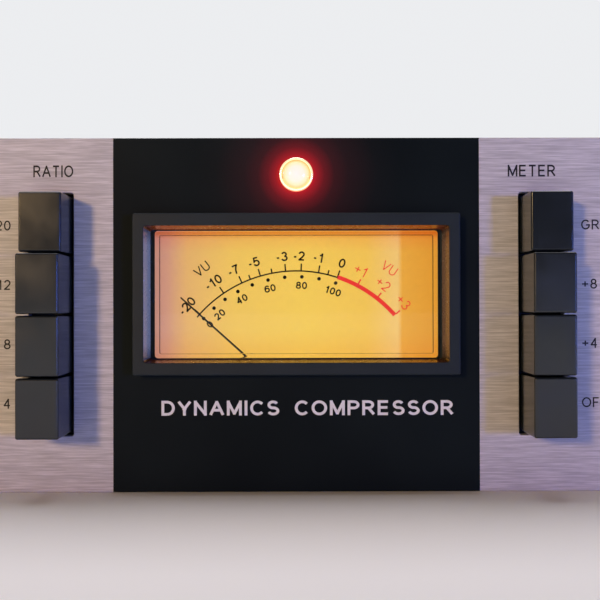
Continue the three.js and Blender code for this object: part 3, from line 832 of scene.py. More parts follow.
def meter_bezel():
    """A frame with rounded edges whose inner walls close in slightly towards the back."""
    outside, mouth, throat = (80.4, 39.8), (74.9, 33.6), (73.3, 32.6)
    lip, collar = (71.0, 32.0), (76.0, 36.0)
    edge, mouth_edge = 0.35, 0.15
    back, front = FACE - 0.1, box("meter_bezel")[0].y
    throat_y = FACE + 3.0

    def level(size, y, grow=0.0, radius=0.7):
        return at_depth(rounded(METER_X, METER_Z, *size, radius)(grow), y)

    rings = [level(outside, back, radius=0.6)]
    rings += [level(outside, front + depth, -inset, 0.6) for inset, depth in reversed(edge_steps(edge, 4))]
    rings += [level(mouth, front + depth, inset) for inset, depth in edge_steps(mouth_edge)]
    rings += [level(throat, throat_y - 0.7), level(lip, throat_y - 0.6), level(lip, throat_y)]
    rings += [level(collar, throat_y, -0.2), level(collar, throat_y - 0.2), level(collar, back)]
    # lit and shaded copies of one plastic for the inner walls, each with its own painted glow: blue at the
    # left, brown at the right, amber at the top and bottom
    materials = [
        MATERIAL["bezel"],
        wall_material("left_wall_painted_light", rgb(64, 76, 98), rgb(84, 92, 122), "Z", mouth[1] / 2),
        wall_material("right_wall_painted_light", rgb(46, 42, 38), rgb(84, 56, 38), "Z", mouth[1] / 2),
        wall_material("top_wall_painted_light", rgb(46, 36, 30), rgb(108, 46, 12), "X", mouth[0] / 2),
        wall_material("bottom_wall_painted_light", rgb(30, 24, 20), rgb(58, 22, 2), "X", mouth[0] / 2),
    ]
    frame_shape = skin(rings, closed=True)
    bezel = add_piece("bezel", frame_shape, materials, slot="meter_frame", replaces=["meter_bezel"])
    for face in bezel.data.polygons:
        x, y, z = face.center / MM - Vector((METER_X, 0, METER_Z))
        inside = abs(x) < mouth[0] / 2 and abs(z) < mouth[1] / 2
        if inside and front + mouth_edge < y < throat_y - 0.75:
            upright = abs(x) > lip[0] / 2 and abs(z) < lip[1] / 2
            face.material_index = (1 if x < 0 else 2) if upright else (3 if z > 0 else 4)


def meter_cover():
    """A clear box in the bezel's opening with a flange behind the panel."""
    low, high = box("meter_cover")
    window = (70.7, 31.8)
    inside = (window[0] - 2 * COVER_WALL, window[1] - 2 * COVER_WALL)
    flange = (high.x - low.x, high.z - low.z)
    flange_front = PANEL_BACK + 0.1
    centre_z = (low.z + high.z) / 2

    def level(size, y, grow=0.0, radius=0.8, z=METER_Z):
        return at_depth(rounded(METER_X, z, *size, radius)(grow), y)

    rings = [level(window, low.y + depth, -inset) for inset, depth in edge_steps(0.5, 5)]
    rings += [level(window, flange_front)]
    rings += [level(flange, y, radius=1.0, z=centre_z) for y in (flange_front, high.y)]
    rings += [level(inside, high.y, radius=0.5)]
    inner_edge = [(-inset, low.y + COVER_WALL + depth) for inset, depth in reversed(edge_steps(0.25))]
    rings += [level(inside, y, grow, 0.5) for grow, y in inner_edge]
    add_piece("clear_cover", skin(rings), "clear", replaces=["meter_cover"], smooth=30)


# ---- the pilot lamp ----

LENS_RADIUS = 3.33


def lens_material():
    shader = Shader("lamp_lens", roughness=0.15, specular_ior_level=0.4)
    shader.glow(shader.bands(shader.distance(LAMP_X, LAMP_Z), 0, 4, [
        (0, rgb(250, 250, 250)),
        (1.9, rgb(252, 252, 236)),
        (2.8, rgb(252, 248, 196)),
        (3.3, rgb(240, 214, 140)),
    ]), 0.9)
    swirl = shader.noise(0.9)
    shader.feed("Base Color", shader.ramp(swirl, (0.7, 0.08, 0.05, 1), (0.85, 0.14, 0.08, 1)))
    shader.bump(swirl, 0.05)
    return shader.material


def ring_material():
    """Bright metal with the lamp's light on it painted as a glow."""
    shader = Shader("lamp_ring_painted_glow", metallic=1.0)
    # painted glow of the lamp's light: brown at the inner edge, white-hot over the rim, red at the outside
    shader.glow(shader.bands(shader.distance(LAMP_X, LAMP_Z), 3.2, 4.5, [
        (3.4, rgb(70, 34, 14)),
        (3.56, rgb(110, 66, 30)),
        (3.68, rgb(255, 240, 190)),
        (4.1, rgb(255, 236, 186)),
        (4.2, rgb(235, 120, 80)),
    ]))
    cloud = shader.noise(0.5)
    shader.feed("Base Color", shader.ramp(cloud, (0.7, 0.66, 0.62, 1), (0.85, 0.82, 0.78, 1)))
    shader.feed("Roughness", shader.span(cloud, 0.1, 0.25))
    return shader.material


def pilot_lamp():
    low, high = box("pilot_lamp_lens")
    dome = [(0.4, 0), (1.3, 0.08), (2.1, 0.32), (2.8, 0.72), (3.2, 1.15), (LENS_RADIUS, 1.5)]
    profile = [(radius, low.y + depth) for radius, depth in dome] + [(LENS_RADIUS, high.y)]
    lens = lathe(LAMP_X, LAMP_Z, profile, 96)
    add_piece("pilot_lens", lens, [lens_material()], slot="lamp_lens", replaces=["pilot_lamp_lens"])
    front = FACE - 1.6
    edge = [(3.45, 0.75), (3.5, 0.5), (3.62, 0.12), (3.72, 0), (3.95, 0), (4.1, 0.1), (4.18, 0.35)]
    profile = [(radius, front + depth) for radius, depth in edge]
    profile += [(4.18, FACE - 0.1), (3.85, FACE - 0.1), (3.85, FACE + 6), (3.45, FACE + 6)]
    rim = lathe(LAMP_X, LAMP_Z, profile, 96, closed=True)
    add_piece("pilot_ring", rim, [ring_material()], slot="chrome", replaces=["pilot_lamp_bezel"], smooth=50)


# ---- buttons ----


def push_buttons():
    for bank, legends in BUTTONS.items():
        for name in legends:
            node = f"{bank}_button_{name}"
            low, high = box(node)
            back = low.y + BUTTON_DEPTH
            cap = block(low, (high.x, back, high.z), 0.5)
            stem = bar((low.x + high.x) / 2, (low.z + high.z) / 2, 2, 2, back - 0.3, high.y, 0.2)
            add_piece(f"{bank}_key_{name}", merge(cap, stem), "button", node, replaces=[node])


# ---- the front panel ----

RACK_HOLE, RACK_HOLE_X, RACK_HOLE_REACH = (10.3, 6.8), 232.55, 38.1


def front_panel():
    holes = [rounded(METER_X, METER_Z, *METER_OPENING, 0.6), circle(LAMP_X, LAMP_Z, 4.0)]
    for name in KNOBS:
        shaft = middle(f"{name}_shaft")
        holes.append(circle(shaft.x, shaft.z, 4.8))
    for bank in BUTTONS:
        x, z = bank_middle(bank).xz
        holes.append(rounded(x, z, *BUTTON_SLOT, 0.6))
    for side, level in product((-1, 1), (-1, 1)):
        holes.append(obround(side * RACK_HOLE_X, PANEL_MIDDLE + level * RACK_HOLE_REACH, *RACK_HOLE))
    outer = rounded(0, PANEL_MIDDLE, PANEL_HIGH.x - PANEL_LOW.x, PANEL_HIGH.z, 0.5)
    sheet = plate(outer, holes, FACE, PANEL_BACK, 0.3)
    panel = add_piece("panel", sheet, [MATERIAL["silver"], field_material()], slot="brushed_panel",
                      replaces=["front_panel"])
    paint_centre(panel)


def bank_middle(bank):
    """The middle of a column of buttons."""
    first, *_, last = (box(f"{bank}_button_{name}") for name in BUTTONS[bank])
    return (last[0] + first[1]) / 2


def paint_centre(panel):
    """Cuts the panel at the sides of the black field and paints its front and edges between them."""
    edges = [METER_X - CENTRE_FIELD / 2, METER_X + CENTRE_FIELD / 2]
    mesh = bmesh.new()
    mesh.from_mesh(panel.data)
    for edge in edges:
        bmesh.ops.bisect_plane(
            mesh, geom=mesh.verts[:] + mesh.edges[:] + mesh.faces[:],
            plane_co=(edge * MM, 0, 0), plane_no=(1, 0, 0), dist=1e-7,
        )
    back = PANEL_BACK * MM - 1e-5
    for face in mesh.faces:
        centre = face.calc_center_median()
        if edges[0] * MM < centre.x < edges[1] * MM and centre.y < back:
            face.material_index = 1
    mesh.to_mesh(panel.data)
    mesh.free()


def field_material():
    """Matt black, with the pilot lamp's red light painted on it as a glow that falls off around the lamp."""
    shader = Shader("black_field_painted_glow", specular_ior_level=0.06)
    fine, broad = shader.noise(4, detail=2), shader.noise(0.02, detail=2)
    shader.feed("Base Color", shader.ramp(broad, rgb(11, 18, 21), rgb(21, 29, 31)))
    shader.feed("Roughness", shader.span(fine, 0.4, 0.5))
    shader.bump(fine, 0.12, 0.02)
    # painted red glow of the pilot lamp, a pool of light on the field
    shader.glow(shader.bands(shader.distance(LAMP_X, LAMP_Z), 3, 30, [
        (3.8, rgb(200, 20, 30)),
        (5.2, rgb(150, 15, 26)),
        (7.0, rgb(98, 10, 18)),
        (9.5, rgb(52, 8, 12)),
        (13, rgb(30, 6, 8)),
        (20, rgb(6, 2, 2)),
        (26, rgb(0, 0, 0)),
    ]))
    return shader.material


# ---- knobs ----

FINGER_FLUTES, FINGER_GRIP, FINGER_CAP = 14, 9, 7.2  # flutes, and radii of a small knob
HAND_FLUTES, HAND_GRIP, HAND_CAP = 20, 16, 13.8  # the same of a large one
SKIRT_FRONT = FACE - 4
NUT_POCKET = FACE - 5.4  # floor of the hollow behind a knob
BUSHING = 4.6


def knob(name, flutes, grip, cap_radius):
    """A skirted, fluted knob that is hollow behind, for the nut, and bored for the shaft."""
    low, high = box(f"{name}_knob")
    x, z = (low.x + high.x) / 2, (low.z + high.z) / 2
    skirt = (high.x - low.x) / 2
    front, back = low.y, high.y
    seat = cap_radius + 0.3
    count = flutes * 8

    def level(radius, y, depth=0.0):
        return at_depth(polar(x, z, fluted(radius, flutes, depth), count)(), y)

    rings = [
        level(3.25, front + 3.5), level(3.25, NUT_POCKET), level(7.4, NUT_POCKET), level(7.4, back),
        level(skirt - 0.4, back), level(skirt, back - 0.4), level(skirt, SKIRT_FRONT + 1.2),
        level(skirt - 0.15, SKIRT_FRONT + 0.8), level(skirt - 1.0, SKIRT_FRONT + 0.35),
        level(grip + 1.2, SKIRT_FRONT), level(grip + 0.5, SKIRT_FRONT - 0.15),
        level(grip + 0.05, SKIRT_FRONT - 0.7, 0.5), level(grip, SKIRT_FRONT - 1.6, 0.9),
        level(grip - 0.35, front + 1.4, 0.9), level(grip - 0.5, front + 0.7, 0.8),
        level(grip - 0.85, front + 0.2, 0.5), level(grip - 1.25, front, 0.15),
        level(seat + 0.15, front), level(seat, front + 0.2), level(seat, front + 1.6),
    ]
    body = f"{name}_control"
    add_piece(f"{name}_grip", skin(rings), "knob", body, replaces=[f"{name}_knob"])

    cap_low, cap_high = box(f"{name}_knob_cap")
    dish = [(0.3, 0.25), (cap_radius * 0.9, 0.12), (cap_radius * 0.93, 0)]
    edge = [(cap_radius - inset, depth) for inset, depth in edge_steps(0.35, 4)]
    profile = [(radius, cap_low.y + depth) for radius, depth in dish + edge] + [(cap_radius, cap_high.y)]
    cap, metal = lathe(x, z, profile, 96), turned_metal(f"{name}_cap_metal", rgb(206, 204, 202), x, z)
    add_piece(f"{name}_cap", cap, [metal], body, "plain_aluminium", [f"{name}_knob_cap"])

    line_top = block((x - 0.5, front - 0.04, z + seat + 0.25), (x + 0.5, front + 0.3, z + grip - 0.9), 0.03)
    line_side = block((x - 0.5, SKIRT_FRONT - 0.55, z + grip + 0.7),
                      (x + 0.5, SKIRT_FRONT + 0.5, z + skirt - 1.3), 0.03)
    add_piece(f"{name}_pointer_line", merge(line_top, line_side), "white_ink", body, "knob")


def potentiometer_nut(name):
    """A washer and a hexagonal nut on the bushing, under the knob."""
    x, z = middle(f"{name}_shaft").xz
    section = [(BUSHING, 0.6), (6.6, 0.6), (6.7, 0.5), (6.7, 0.02), (BUSHING, 0.02)]
    washer = lathe(x, z, [(radius, FACE - proud) for radius, proud in section], 72, closed=True)
    flats = polar(x, z, hexagon(11.4), 72)
    inner = circle(x, z, BUSHING, 72)
    levels = [(inner, 0.25, 3.0), (inner, 0, 2.75), (inner, 0, 0.65),
              (flats, 0, 0.65), (flats, 0, 2.8), (flats, -0.4, 3.0)]
    nut = skin([at_depth(outline(grow), FACE - proud) for outline, grow, proud in levels], closed=True)
    add_piece(f"{name}_nut", merge(washer, nut), "zinc")


def knobs():
    for name in KNOBS:
        if name in LARGE_KNOBS:
            knob(name, HAND_FLUTES, HAND_GRIP, HAND_CAP)
        else:
            knob(name, FINGER_FLUTES, FINGER_GRIP, FINGER_CAP)
        potentiometer_nut(name)


# ---- screws ----

FACING = {  # turns a shape whose front faces -Y so that it faces another way
    "front": Matrix.Identity(4),
    "rear": Matrix.Rotation(math.pi, 4, "Z"),
    "top": Matrix.Rotation(-math.pi / 2, 4, "X"),
    "bottom": Matrix.Rotation(math.pi / 2, 4, "X"),
    "left": Matrix.Rotation(-math.pi / 2, 4, "Z"),
    "right": Matrix.Rotation(math.pi / 2, 4, "Z"),
}
SCREW_TURN = 37  # degrees from one screw's cross to the next one's


def head(radius, mouth, floor, rim):
    """A screw head with a cross recess, seated at y 0 and facing -Y.

    The recess narrows from mouth to floor, each a reach and an arm's half width as shares of the
    radius, and a depth; the rim's steps are a share of the radius and a depth.
    """
    rings = []
    for reach, arm, y in (floor, mouth):
        rings.append(at_depth(polar(0, 0, cross(radius * reach, radius * arm), 96)(), y))
    rings += [at_depth(circle(0, 0, radius * share, 96)(), y) for share, y in rim]
    return skin(rings)


def pan_head(radius, height):
    rim = [(0.72, -height), (0.88, -height * 0.88), (0.97, -height * 0.6), (1, -height * 0.3), (1, 0.2)]
    return head(radius, (0.58, 0.13, -height), (0.3, 0.09, -height * 0.35), rim)


def flat_head(radius):
    """A countersunk head, just proud of the surface."""
    return head(radius, (0.6, 0.12, -0.25), (0.3, 0.08, 0.15), [(0.9, -0.25), (1, -0.12), (1, 0.1)])


def screws(name, direction, places, shape, finish="screw"):
    """A group of screws of one shape; each place is a point on the surface that they hold."""
    placed = []
    for index, place in enumerate(places):
        turn = Matrix.Rotation(math.radians(index * SCREW_TURN % 90), 4, "Y")
        placed.append(changed(shape, Matrix.Translation(place) @ FACING[direction] @ turn))
    add_piece(name, merge(*placed), finish, slot="")


def front_screws():
    places = [*product((-205, 205), (FACE,), (12, 76)), *product((-126, -42), (FACE,), (82, 6))]
    screws("panel_screws", "front", places, flat_head(2.9))


# ---- the case ----

VENT_MIDDLES, VENT_ROWS, VENT_PITCH, VENT_SIZE = (-150, 45), 12, 9, (90, 3)
FIRST_VENT = FACE + 61.5
LIP_SCREW_X = 70  # from the middle to the screws along the top cover's rear edge


def cover(side, slots, shape, finish, more=()):
    """The flat cover over or under the case, with screws along its ends."""
    low, high = box(f"{side}_cover")
    face = high.z if side == "top" else low.z
    centre_y = (low.y + high.y) / 2
    outer = rounded(0, centre_y, high.x - low.x, high.y - low.y, 0.8)
    sheet = lying(outer, slots, low.z, high.z, 0.3)
    add_piece(f"cover_{side}", sheet, "coat", replaces=[f"{side}_cover"])
    places = [*product((low.x + 8, high.x - 8), (low.y + 10, centre_y, high.y - 10), (face,))]
    places += [(x, high.y - 6, face) for x in more]
    screws(f"cover_{side}_screws", side, places, shape, finish)


def covers():
    rows = [FIRST_VENT + row * VENT_PITCH for row in range(VENT_ROWS)]
    vents = [obround(x, y, *VENT_SIZE) for x, y in product(VENT_MIDDLES, rows)]
    cover("top", vents, pan_head(2.9, 1.6), "screw", (-LIP_SCREW_X, LIP_SCREW_X))
    cover("bottom", [], flat_head(3.0), "zinc")


def side_plates():
    upright = Matrix(((0, 1, 0, 0), (1, 0, 0, 0), (0, 0, 1, 0), (0, 0, 0, 1)))
    for side in ("left", "right"):
        node = f"{side}_side_plate"
        low, high = box(node)
        centre_y, centre_z = (low.y + high.y) / 2, (low.z + high.z) / 2
        outline = rounded(centre_y, centre_z, high.y - low.y, high.z - low.z, 0.4)
        sheet = changed(plate(outline, [], low.x, high.x, 0.35), upright)
        add_piece(f"side_{side}", sheet, "side", replaces=[node])
        face = low.x if side == "left" else high.x
        rows = (low.z + 9, high.z - 9)
        places = [*product((face,), (low.y + 7, high.y - 7), rows)]
        places += [(face, centre_y + step, z) for z in reversed(rows) for step in (-50, 50)]
        screws(f"side_{side}_screws", side, places, flat_head(3.2))


# ---- the rear ----

XLR_FLANGE, XLR_SCREWS = (26, 31), ((-1, 1), (1, -1))
XLR_SCREW_X, XLR_SCREW_Z = 9.5, 12
LATCH_GAP = 3.0  # half the notch for the latch in the input's barrel
PIN_ANGLES = (30, 150, 270)
INLET_BODY, INLET_FLANGE = (27, 40), (31, 48)
PAD_SCREW_Z = 11.6


def rear_panel():
    low, high = box("rear_panel")
    holes = [circle(*middle(f"xlr_{way}_socket").xz, 12.0) for way in ("input", "output")]
    holes.append(rounded(*middle("power_inlet").xz, 27.4, 40.4, 1.0))
    holes.append(rounded(*middle("pad_switch_body").xz, 6.6, 13.0, 0.5))
    outer = rounded(0, (low.z + high.z) / 2, high.x - low.x, high.z - low.z, 0.5)
    add_piece("panel_rear", plate(outer, holes, low.y, high.y, 0.3), "coat", replaces=["rear_panel"])
    places = [*product((low.x + 7, 0, high.x - 7), (high.y,), (low.z + 6, high.z - 6))]
    screws("panel_rear_screws", "rear", places, pan_head(2.8, 1.5))


def xlr_flange(name, x, z, hole):
    front, back = REAR_FACE + 0.1, REAR_FACE + 2.1
    ears = [(x + side * XLR_SCREW_X, z + level * XLR_SCREW_Z) for side, level in XLR_SCREWS]
    holes = [circle(x, z, hole, 72)] + [circle(*ear, 1.7, 32) for ear in ears]
    flange = plate(rounded(x, z, *XLR_FLANGE, 3.0, 8), holes, front, back, 0.35)
    add_piece(f"{name}_flange", flange, "dark_metal")
    screws(f"{name}_screws", "rear", [(ear_x, back, ear_z) for ear_x, ear_z in ears], pan_head(2.6, 1.1))


def xlr_input():
    """A notched barrel around an insert with three sockets, and the latch in the notch."""
    x, z = middle("xlr_input_socket").x, REAR_LEVEL
    mouth, floor = REAR_FACE + XLR_MOUTH, REAR_FACE + XLR_FLOOR
    xlr_flange("line_in", x, z, 11.75)
    outer_gap = math.degrees(math.asin(LATCH_GAP / XLR_BARREL))
    inner_gap = math.degrees(math.asin(LATCH_GAP / XLR_SOCKET))
    wall = arc(x, z, XLR_BARREL, 90 + outer_gap, 450 - outer_gap, 72)
    wall += arc(x, z, XLR_SOCKET, 450 - inner_gap, 90 + inner_gap, 72)
    barrel = plate(through(wall), [], REAR_FACE - 20, mouth, 0.3)
    add_piece("line_in_barrel", barrel, "dark_metal", replaces=["xlr_input_socket"])
    pins = [circle(*around(x, z, XLR_PINS, turn), 1.4, 32) for turn in PIN_ANGLES]
    insert = plate(circle(x, z, 7.6, 72), pins, floor, mouth - 0.6, 0.3)
    bottom = lathe(x, z, [(9.4, floor - 1), (9.4, floor)], 72)
    add_piece("line_in_insert", merge(insert, bottom), "connector")
    low, high = box("xlr_input_latch")
    lever = block(low, (high.x, high.y - 1.2, high.z), 0.2)
    thumb = block((low.x - 0.3, high.y - 2.4, low.z + 0.1), (high.x + 0.3, high.y, high.z + 0.1), 0.4)
    ribs = [block((low.x, high.y - rib, high.z), (high.x, high.y - rib + 0.3, high.z + 0.3), 0.08)
            for rib in (1.9, 1.3, 0.7)]
    latch = merge(lever, thumb, *ribs)
    add_piece("line_in_latch", latch, "zinc", "input_latch", "latch", ["xlr_input_latch"])


def xlr_output():
    """A barrel with a rounded rim around three pins."""
    x, z = middle("xlr_output_socket").x, REAR_LEVEL
    mouth, floor = REAR_FACE + XLR_MOUTH, REAR_FACE + XLR_FLOOR
    xlr_flange("line_out", x, z, XLR_BARREL - 0.1)
    profile = [(XLR_SOCKET, floor - 1), (XLR_BARREL, floor - 1), (XLR_BARREL, mouth - 0.4),
               (XLR_BARREL - 0.15, mouth - 0.1), (XLR_BARREL - 0.5, mouth), (XLR_SOCKET + 0.4, mouth),
               (XLR_SOCKET, mouth - 0.4)]
    barrel = lathe(x, z, profile, 96, closed=True)
    add_piece("line_out_barrel", barrel, "dark_metal", replaces=["xlr_output_socket"])
    insert = [lathe(x, z, [(9.25, floor - 1), (9.25, floor), (9.0, floor + 0.2)], 72)]
    pins, end = [], mouth - 2
    for turn in PIN_ANGLES:
        place = around(x, z, XLR_PINS, turn)
        insert.append(lathe(*place, [(2.0, floor), (2.0, floor + 0.6), (1.8, floor + 0.8)], 32))
        pin = [(1.2, floor), (1.2, end - 0.9), (1.1, end - 0.45), (0.85, end - 0.15), (0.4, end)]
        pins.append(lathe(*place, pin, 32))
    add_piece("line_out_insert", merge(*insert), "connector", smooth=40)
    add_piece("line_out_pins", merge(*pins), "chrome")


def power_inlet():
    """A flanged inlet with a hollow socket, three blades and a bay for the fuse drawer."""
    x, z = middle("power_inlet").x, REAR_LEVEL
    front = REAR_FACE + 0.1
    face = box("power_inlet")[1].y
    socket_z, drawer_z = z + 5, z - 14.6
    half_width, half_height, bevel = 12.2, 8.3, 4.5
    corners = [(-half_width, -half_height), (half_width, -half_height), (half_width, half_height - bevel),
               (half_width - bevel, half_height), (-half_width + bevel, half_height),
               (-half_width, half_height - bevel)]
    holes = [through([(x + dx, socket_z + dz) for dx, dz in corners]), rounded(x, drawer_z, 22.0, 9.4, 0.4)]
    flange = plate(rounded(x, z, *INLET_FLANGE, 2.0, 8), holes, front, face, 0.4)
    shell = plate(rounded(x, z, *INLET_BODY, 1.0), holes, face - 20, front, 0.2)
    back = bar(x, z, 13.5, 20, face - 24, face - 20.1, 0.3)
    floor = bar(x, socket_z, 12.6, 8.6, face - 17.6, face - 17, 0.1)
    add_piece("mains_inlet", merge(flange, shell, back, floor), "connector", replaces=["power_inlet"])
    blades = [bar(x + dx, socket_z + dz, 1, 2.3, face - 18, face - 3, 0.4)
              for dx, dz in ((0, 3.6), (-7, -2), (7, -2))]
    add_piece("mains_blades", merge(*blades), "chrome")
    fuse_drawer(x, drawer_z, face)


def fuse_drawer(x, z, face):
    """A drawer with a pocket between two rails, and the fuse that lies in it."""
    low, high = box("fuse_drawer")
    pocket = 3.4
    rails = [bar(x + side * 7.05, z, 3.65, 4.4, low.y, face, 0.25) for side in (-1, 1)]
    tray = block((x - pocket - 0.2, low.y, z - 4.4), (x + pocket + 0.2, face, z - 2.7), 0.2)
    ends = [block((x - pocket - 0.1, start, z - 4.3), (x + pocket + 0.1, start + 1.2, z + 2.0), 0.2)
            for start in (low.y, face - 1.2)]
    front = plate(rounded(x, z, 23.2, 10.6, 0.8), [], face + 0.1, high.y - 0.05, 0.4)
    lip = block((x - 4.5, high.y - 0.5, z - 4.9), (x + 4.5, high.y + 0.5, z - 3.9), 0.2)
    drawer = merge(*rails, tray, *ends, front, lip)
    add_piece("fuse_tray", drawer, "connector", "fuse_holder", replaces=["fuse_drawer"])

    low, high = box("mains_fuse")
    place = (low.x + high.x) / 2, (low.z + high.z) / 2
    glass_ends = (low.y + 4, high.y - 4)
    parts = [
        lathe(*place, [(2.2, start), (2.5, start + 0.3), (2.5, start + 4.7), (2.2, start + 5)], 40)
        for start in (low.y, high.y - 5)
    ]
    parts.append(lathe(*place, [(0.15, y) for y in glass_ends], 12))
    add_piece("fuse_caps", merge(*parts), "zinc", "fuse_holder", replaces=["mains_fuse"])
    walls = [(1.8, glass_ends[0]), (2.35, glass_ends[0]), (2.35, glass_ends[1]), (1.8, glass_ends[1])]
    add_piece("fuse_tube", lathe(*place, walls, 40, closed=True), "clear", "fuse_holder", "fuse_glass")


def pad_switch():
    """A slide switch: a flange, a slotted body and a ribbed lever."""
    x, z = middle("pad_switch_body").xz
    front = REAR_FACE + 0.1
    track = rounded(x, z, 4.2, 9.6, 0.4)
    ears = [circle(x, z + level * PAD_SCREW_Z, 1.4, 24) for level in (-1, 1)]
    flange = plate(rounded(x, z, 9, 30.4, 1.5, 8), [track] + ears, front, front + 0.8, 0.2)
    body = plate(rounded(x, z, 6, 12.4, 0.4), [track], REAR_FACE - 6, front, 0.15)
    back = bar(x, z, 3, 6.2, REAR_FACE - 9.9, REAR_FACE - 6.05, 0.2)
    add_piece("pad_switch_frame", merge(flange, body, back), "zinc", replaces=["pad_switch_body"])
    places = [(x, front + 0.8, z + level * PAD_SCREW_Z) for level in (-1, 1)]
    screws("pad_switch_screws", "rear", places, pan_head(2.1, 1.0))
    low, high = box("pad_switch_slider")
    ribs = [block((low.x - 0.05, high.y - 0.2, rib), (high.x + 0.05, high.y + 0.25, rib + 0.5), 0.1)
            for rib in (low.z + 1.1, low.z + 2.25, low.z + 3.4)]
    lever = merge(block(low, high, 0.35), *ribs)
    add_piece("pad_switch_lever", lever, "connector", "pad_switch", "button", ["pad_switch_slider"])


# ---- printing ----

TITLE_LEFT, TITLE_RIGHT = METER_X - 33.6, METER_X + 39.0
LEGEND_X = 71  # from the middle of the meter to the legends beside the buttons


def print_on(name, shapes, finish, slot):
    add_piece(name, merge(*shapes), finish, slot=slot, smooth=40)


def title():
    """The line of lettering under the meter, spread to its full width."""
    shape = lettering("DYNAMICS  COMPRESSOR", 3.7, 0, 0, FACE, thick=0.18, gap=0.17)
    xs = [point[0] for point in shape[0]]
    stretch = (TITLE_RIGHT - TITLE_LEFT) / (max(xs) - min(xs))
    place = Matrix.Translation((TITLE_LEFT - min(xs) * stretch, 0, PANEL_MIDDLE - 23.2))
    print_on("title_print", [changed(shape, place @ Matrix.Diagonal((stretch, 1, 1, 1)))], "white_ink",
             "brushed_panel")


def knob_scale(x, z, radius, line, count, step, reach, height):
    """Lines and numbers around a knob, from seven to five o'clock; the numbers go up by a step."""
    shapes = []
    for index in range(count):
        degrees = 240 - 300 * index / (count - 1)
        ends = [around(x, z, radius, degrees), around(x, z, radius + line, degrees)]
        shapes.append(stencil(ribbon(ends, 0.34), FACE - PRINT, FACE))
        number = str(index * step if step > 1 else index + 1)
        shapes.append(lettering(number, height, *around(x, z, radius + reach, degrees), FACE))
    return shapes


def control_legends():
    """Names, scale lines and numbers around the knobs."""
    shapes = []
    for name in KNOBS:
        x, z = middle(f"{name}_shaft").xz
        if name in LARGE_KNOBS:
            shapes += knob_scale(x, z, 21.4, 2.0, 11, 6, 4.5, 2.3)
            shapes.append(lettering(name.upper(), 2.6, x, z + 31.5, FACE, thick=0.16))
        else:
            shapes += knob_scale(x, z, 12.7, 1.5, 7, 1, 3.1, 1.8)
            shapes.append(lettering(name.upper(), 2.0, x, z + 18.9, FACE, thick=0.16))
    print_on("control_legends", shapes, "black_ink", "brushed_panel")


def button_legends():
    """RATIO and METER over the banks, and what each button does on the outer side of it."""
    shapes = []
    for text, x, stretch in (("RATIO", -60.4, 0.81), ("METER", 58.7, 0.9)):
        place = METER_X + x, PANEL_HIGH.z - 8.3
        shapes.append(lettering(text, 2.95, *place, FACE, stretch=stretch, thick=0.15))
    for bank, side, align in (("ratio", -1, "RIGHT"), ("meter", 1, "LEFT")):
        for name, text in BUTTONS[bank].items():
            place = METER_X + side * LEGEND_X, middle(f"{bank}_button_{name}").z
            shapes.append(lettering(text, 2.5, *place, FACE, align=align, thick=0.14))
    print_on("button_legends", shapes, "black_ink", "brushed_panel")


def rear_legends():
    labels = [
        ("LINE IN", "xlr_input_socket", 0, 20.5, 2.8),
        ("LINE OUT", "xlr_output_socket", 0, 20.5, 2.8),
        ("PAD", "pad_switch_body", 0, 20.5, 2.8),
        ("0", "pad_switch_body", 7.6, -3.4, 2.2),
        ("-15", "pad_switch_body", 8.6, 3.4, 2.2),
        ("AC IN", "power_inlet", 0, 28.5, 2.8),
        ("FUSE", "power_inlet", -21.5, -14.6, 2.4),
    ]
    shapes = []
    for text, node, right, up, height in labels:
        place = Matrix.Translation((middle(node).x + right, REAR_FACE, REAR_LEVEL + up)) @ FACING["rear"]
        shapes.append(changed(lettering(text, height, 0, 0, 0, thick=0.14), place))
    print_on("rear_legends", shapes, "white_ink", "black_sheet")


# ---- CAD pieces that stay as they are ----


def finish_frame_nodes():
    """Gives the CAD pieces that still show their materials, and softens their edges."""
    finishes = {
        "switch": ["meter_case", "ratio_switch_bank", "meter_switch_bank"],
        "board": ["meter_lamp_board", "main_board"],
        "iron": ["meter_magnet", "meter_core", "input_transformer", "output_transformer"],
        "copper": ["meter_coil"],
        "aluminium": ["heat_sink"] + [f"{name}_shaft" for name in KNOBS],
        "zinc": ["transformer_clamp"] + [f"{name}_potentiometer" for name in KNOBS],
        "sleeve": ["filter_capacitor_front", "filter_capacitor_rear"],
        "tape": ["power_transformer"],
    }
    for finish, nodes in finishes.items():
        for node in nodes:
            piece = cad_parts[node]
            piece.data.materials.clear()
            piece.data.materials.append(MATERIAL[finish])
            bevel = piece.modifiers.new("bevel", "BEVEL")
            bevel.width = 0.2 * MM
            bevel.segments = 2
            bevel.limit_method = "ANGLE"
            bevel.angle_limit = math.radians(35)


# ---- stage, lights and camera ----

FLOOR_REACH = 6000
BACKDROP = (0.84, 0.85, 0.87, 1)
ROOM = (1, 1, 1, 1), 0.04  # colour and strength
LENS = 55.3
CAMERA_AWAY, CAMERA_HEIGHT = 229.3, 45.98
CAMERA_YAW, CAMERA_PITCH, CAMERA_ROLL = -0.271, 0.421, -0.128


def floor_material():
    """A white floor that turns into the glow of the backdrop away from the part."""
    shader = Shader("floor", specular_ior_level=0.0, roughness=0.8)
    away = shader.node("VectorMath", {0: shader.position}, operation="LENGTH").outputs["Value"]
    far = shader.span(away, 0.0, 1.0, 0.28, 0.85)
    white = shader.ramp(shader.noise(0.004), (0.86, 0.86, 0.865, 1), (0.9, 0.9, 0.905, 1))
    shader.feed("Base Color", shader.mixed(far, white, (0, 0, 0, 1)))
    shader.glow(shader.mixed(far, (0, 0, 0, 1), BACKDROP))
    return shader.material


def floor():
    mesh = bpy.data.meshes.new("floor")
    corners = [Vector((x, y, 0)) * FLOOR_REACH * MM for x, y in ((-1, -1), (1, -1), (1, 1), (-1, 1))]
    mesh.from_pydata(corners, [], [(0, 1, 2, 3)])
    mesh.materials.append(floor_material())
    piece = bpy.data.objects.new("floor", mesh)
    bpy.context.scene.collection.objects.link(piece)


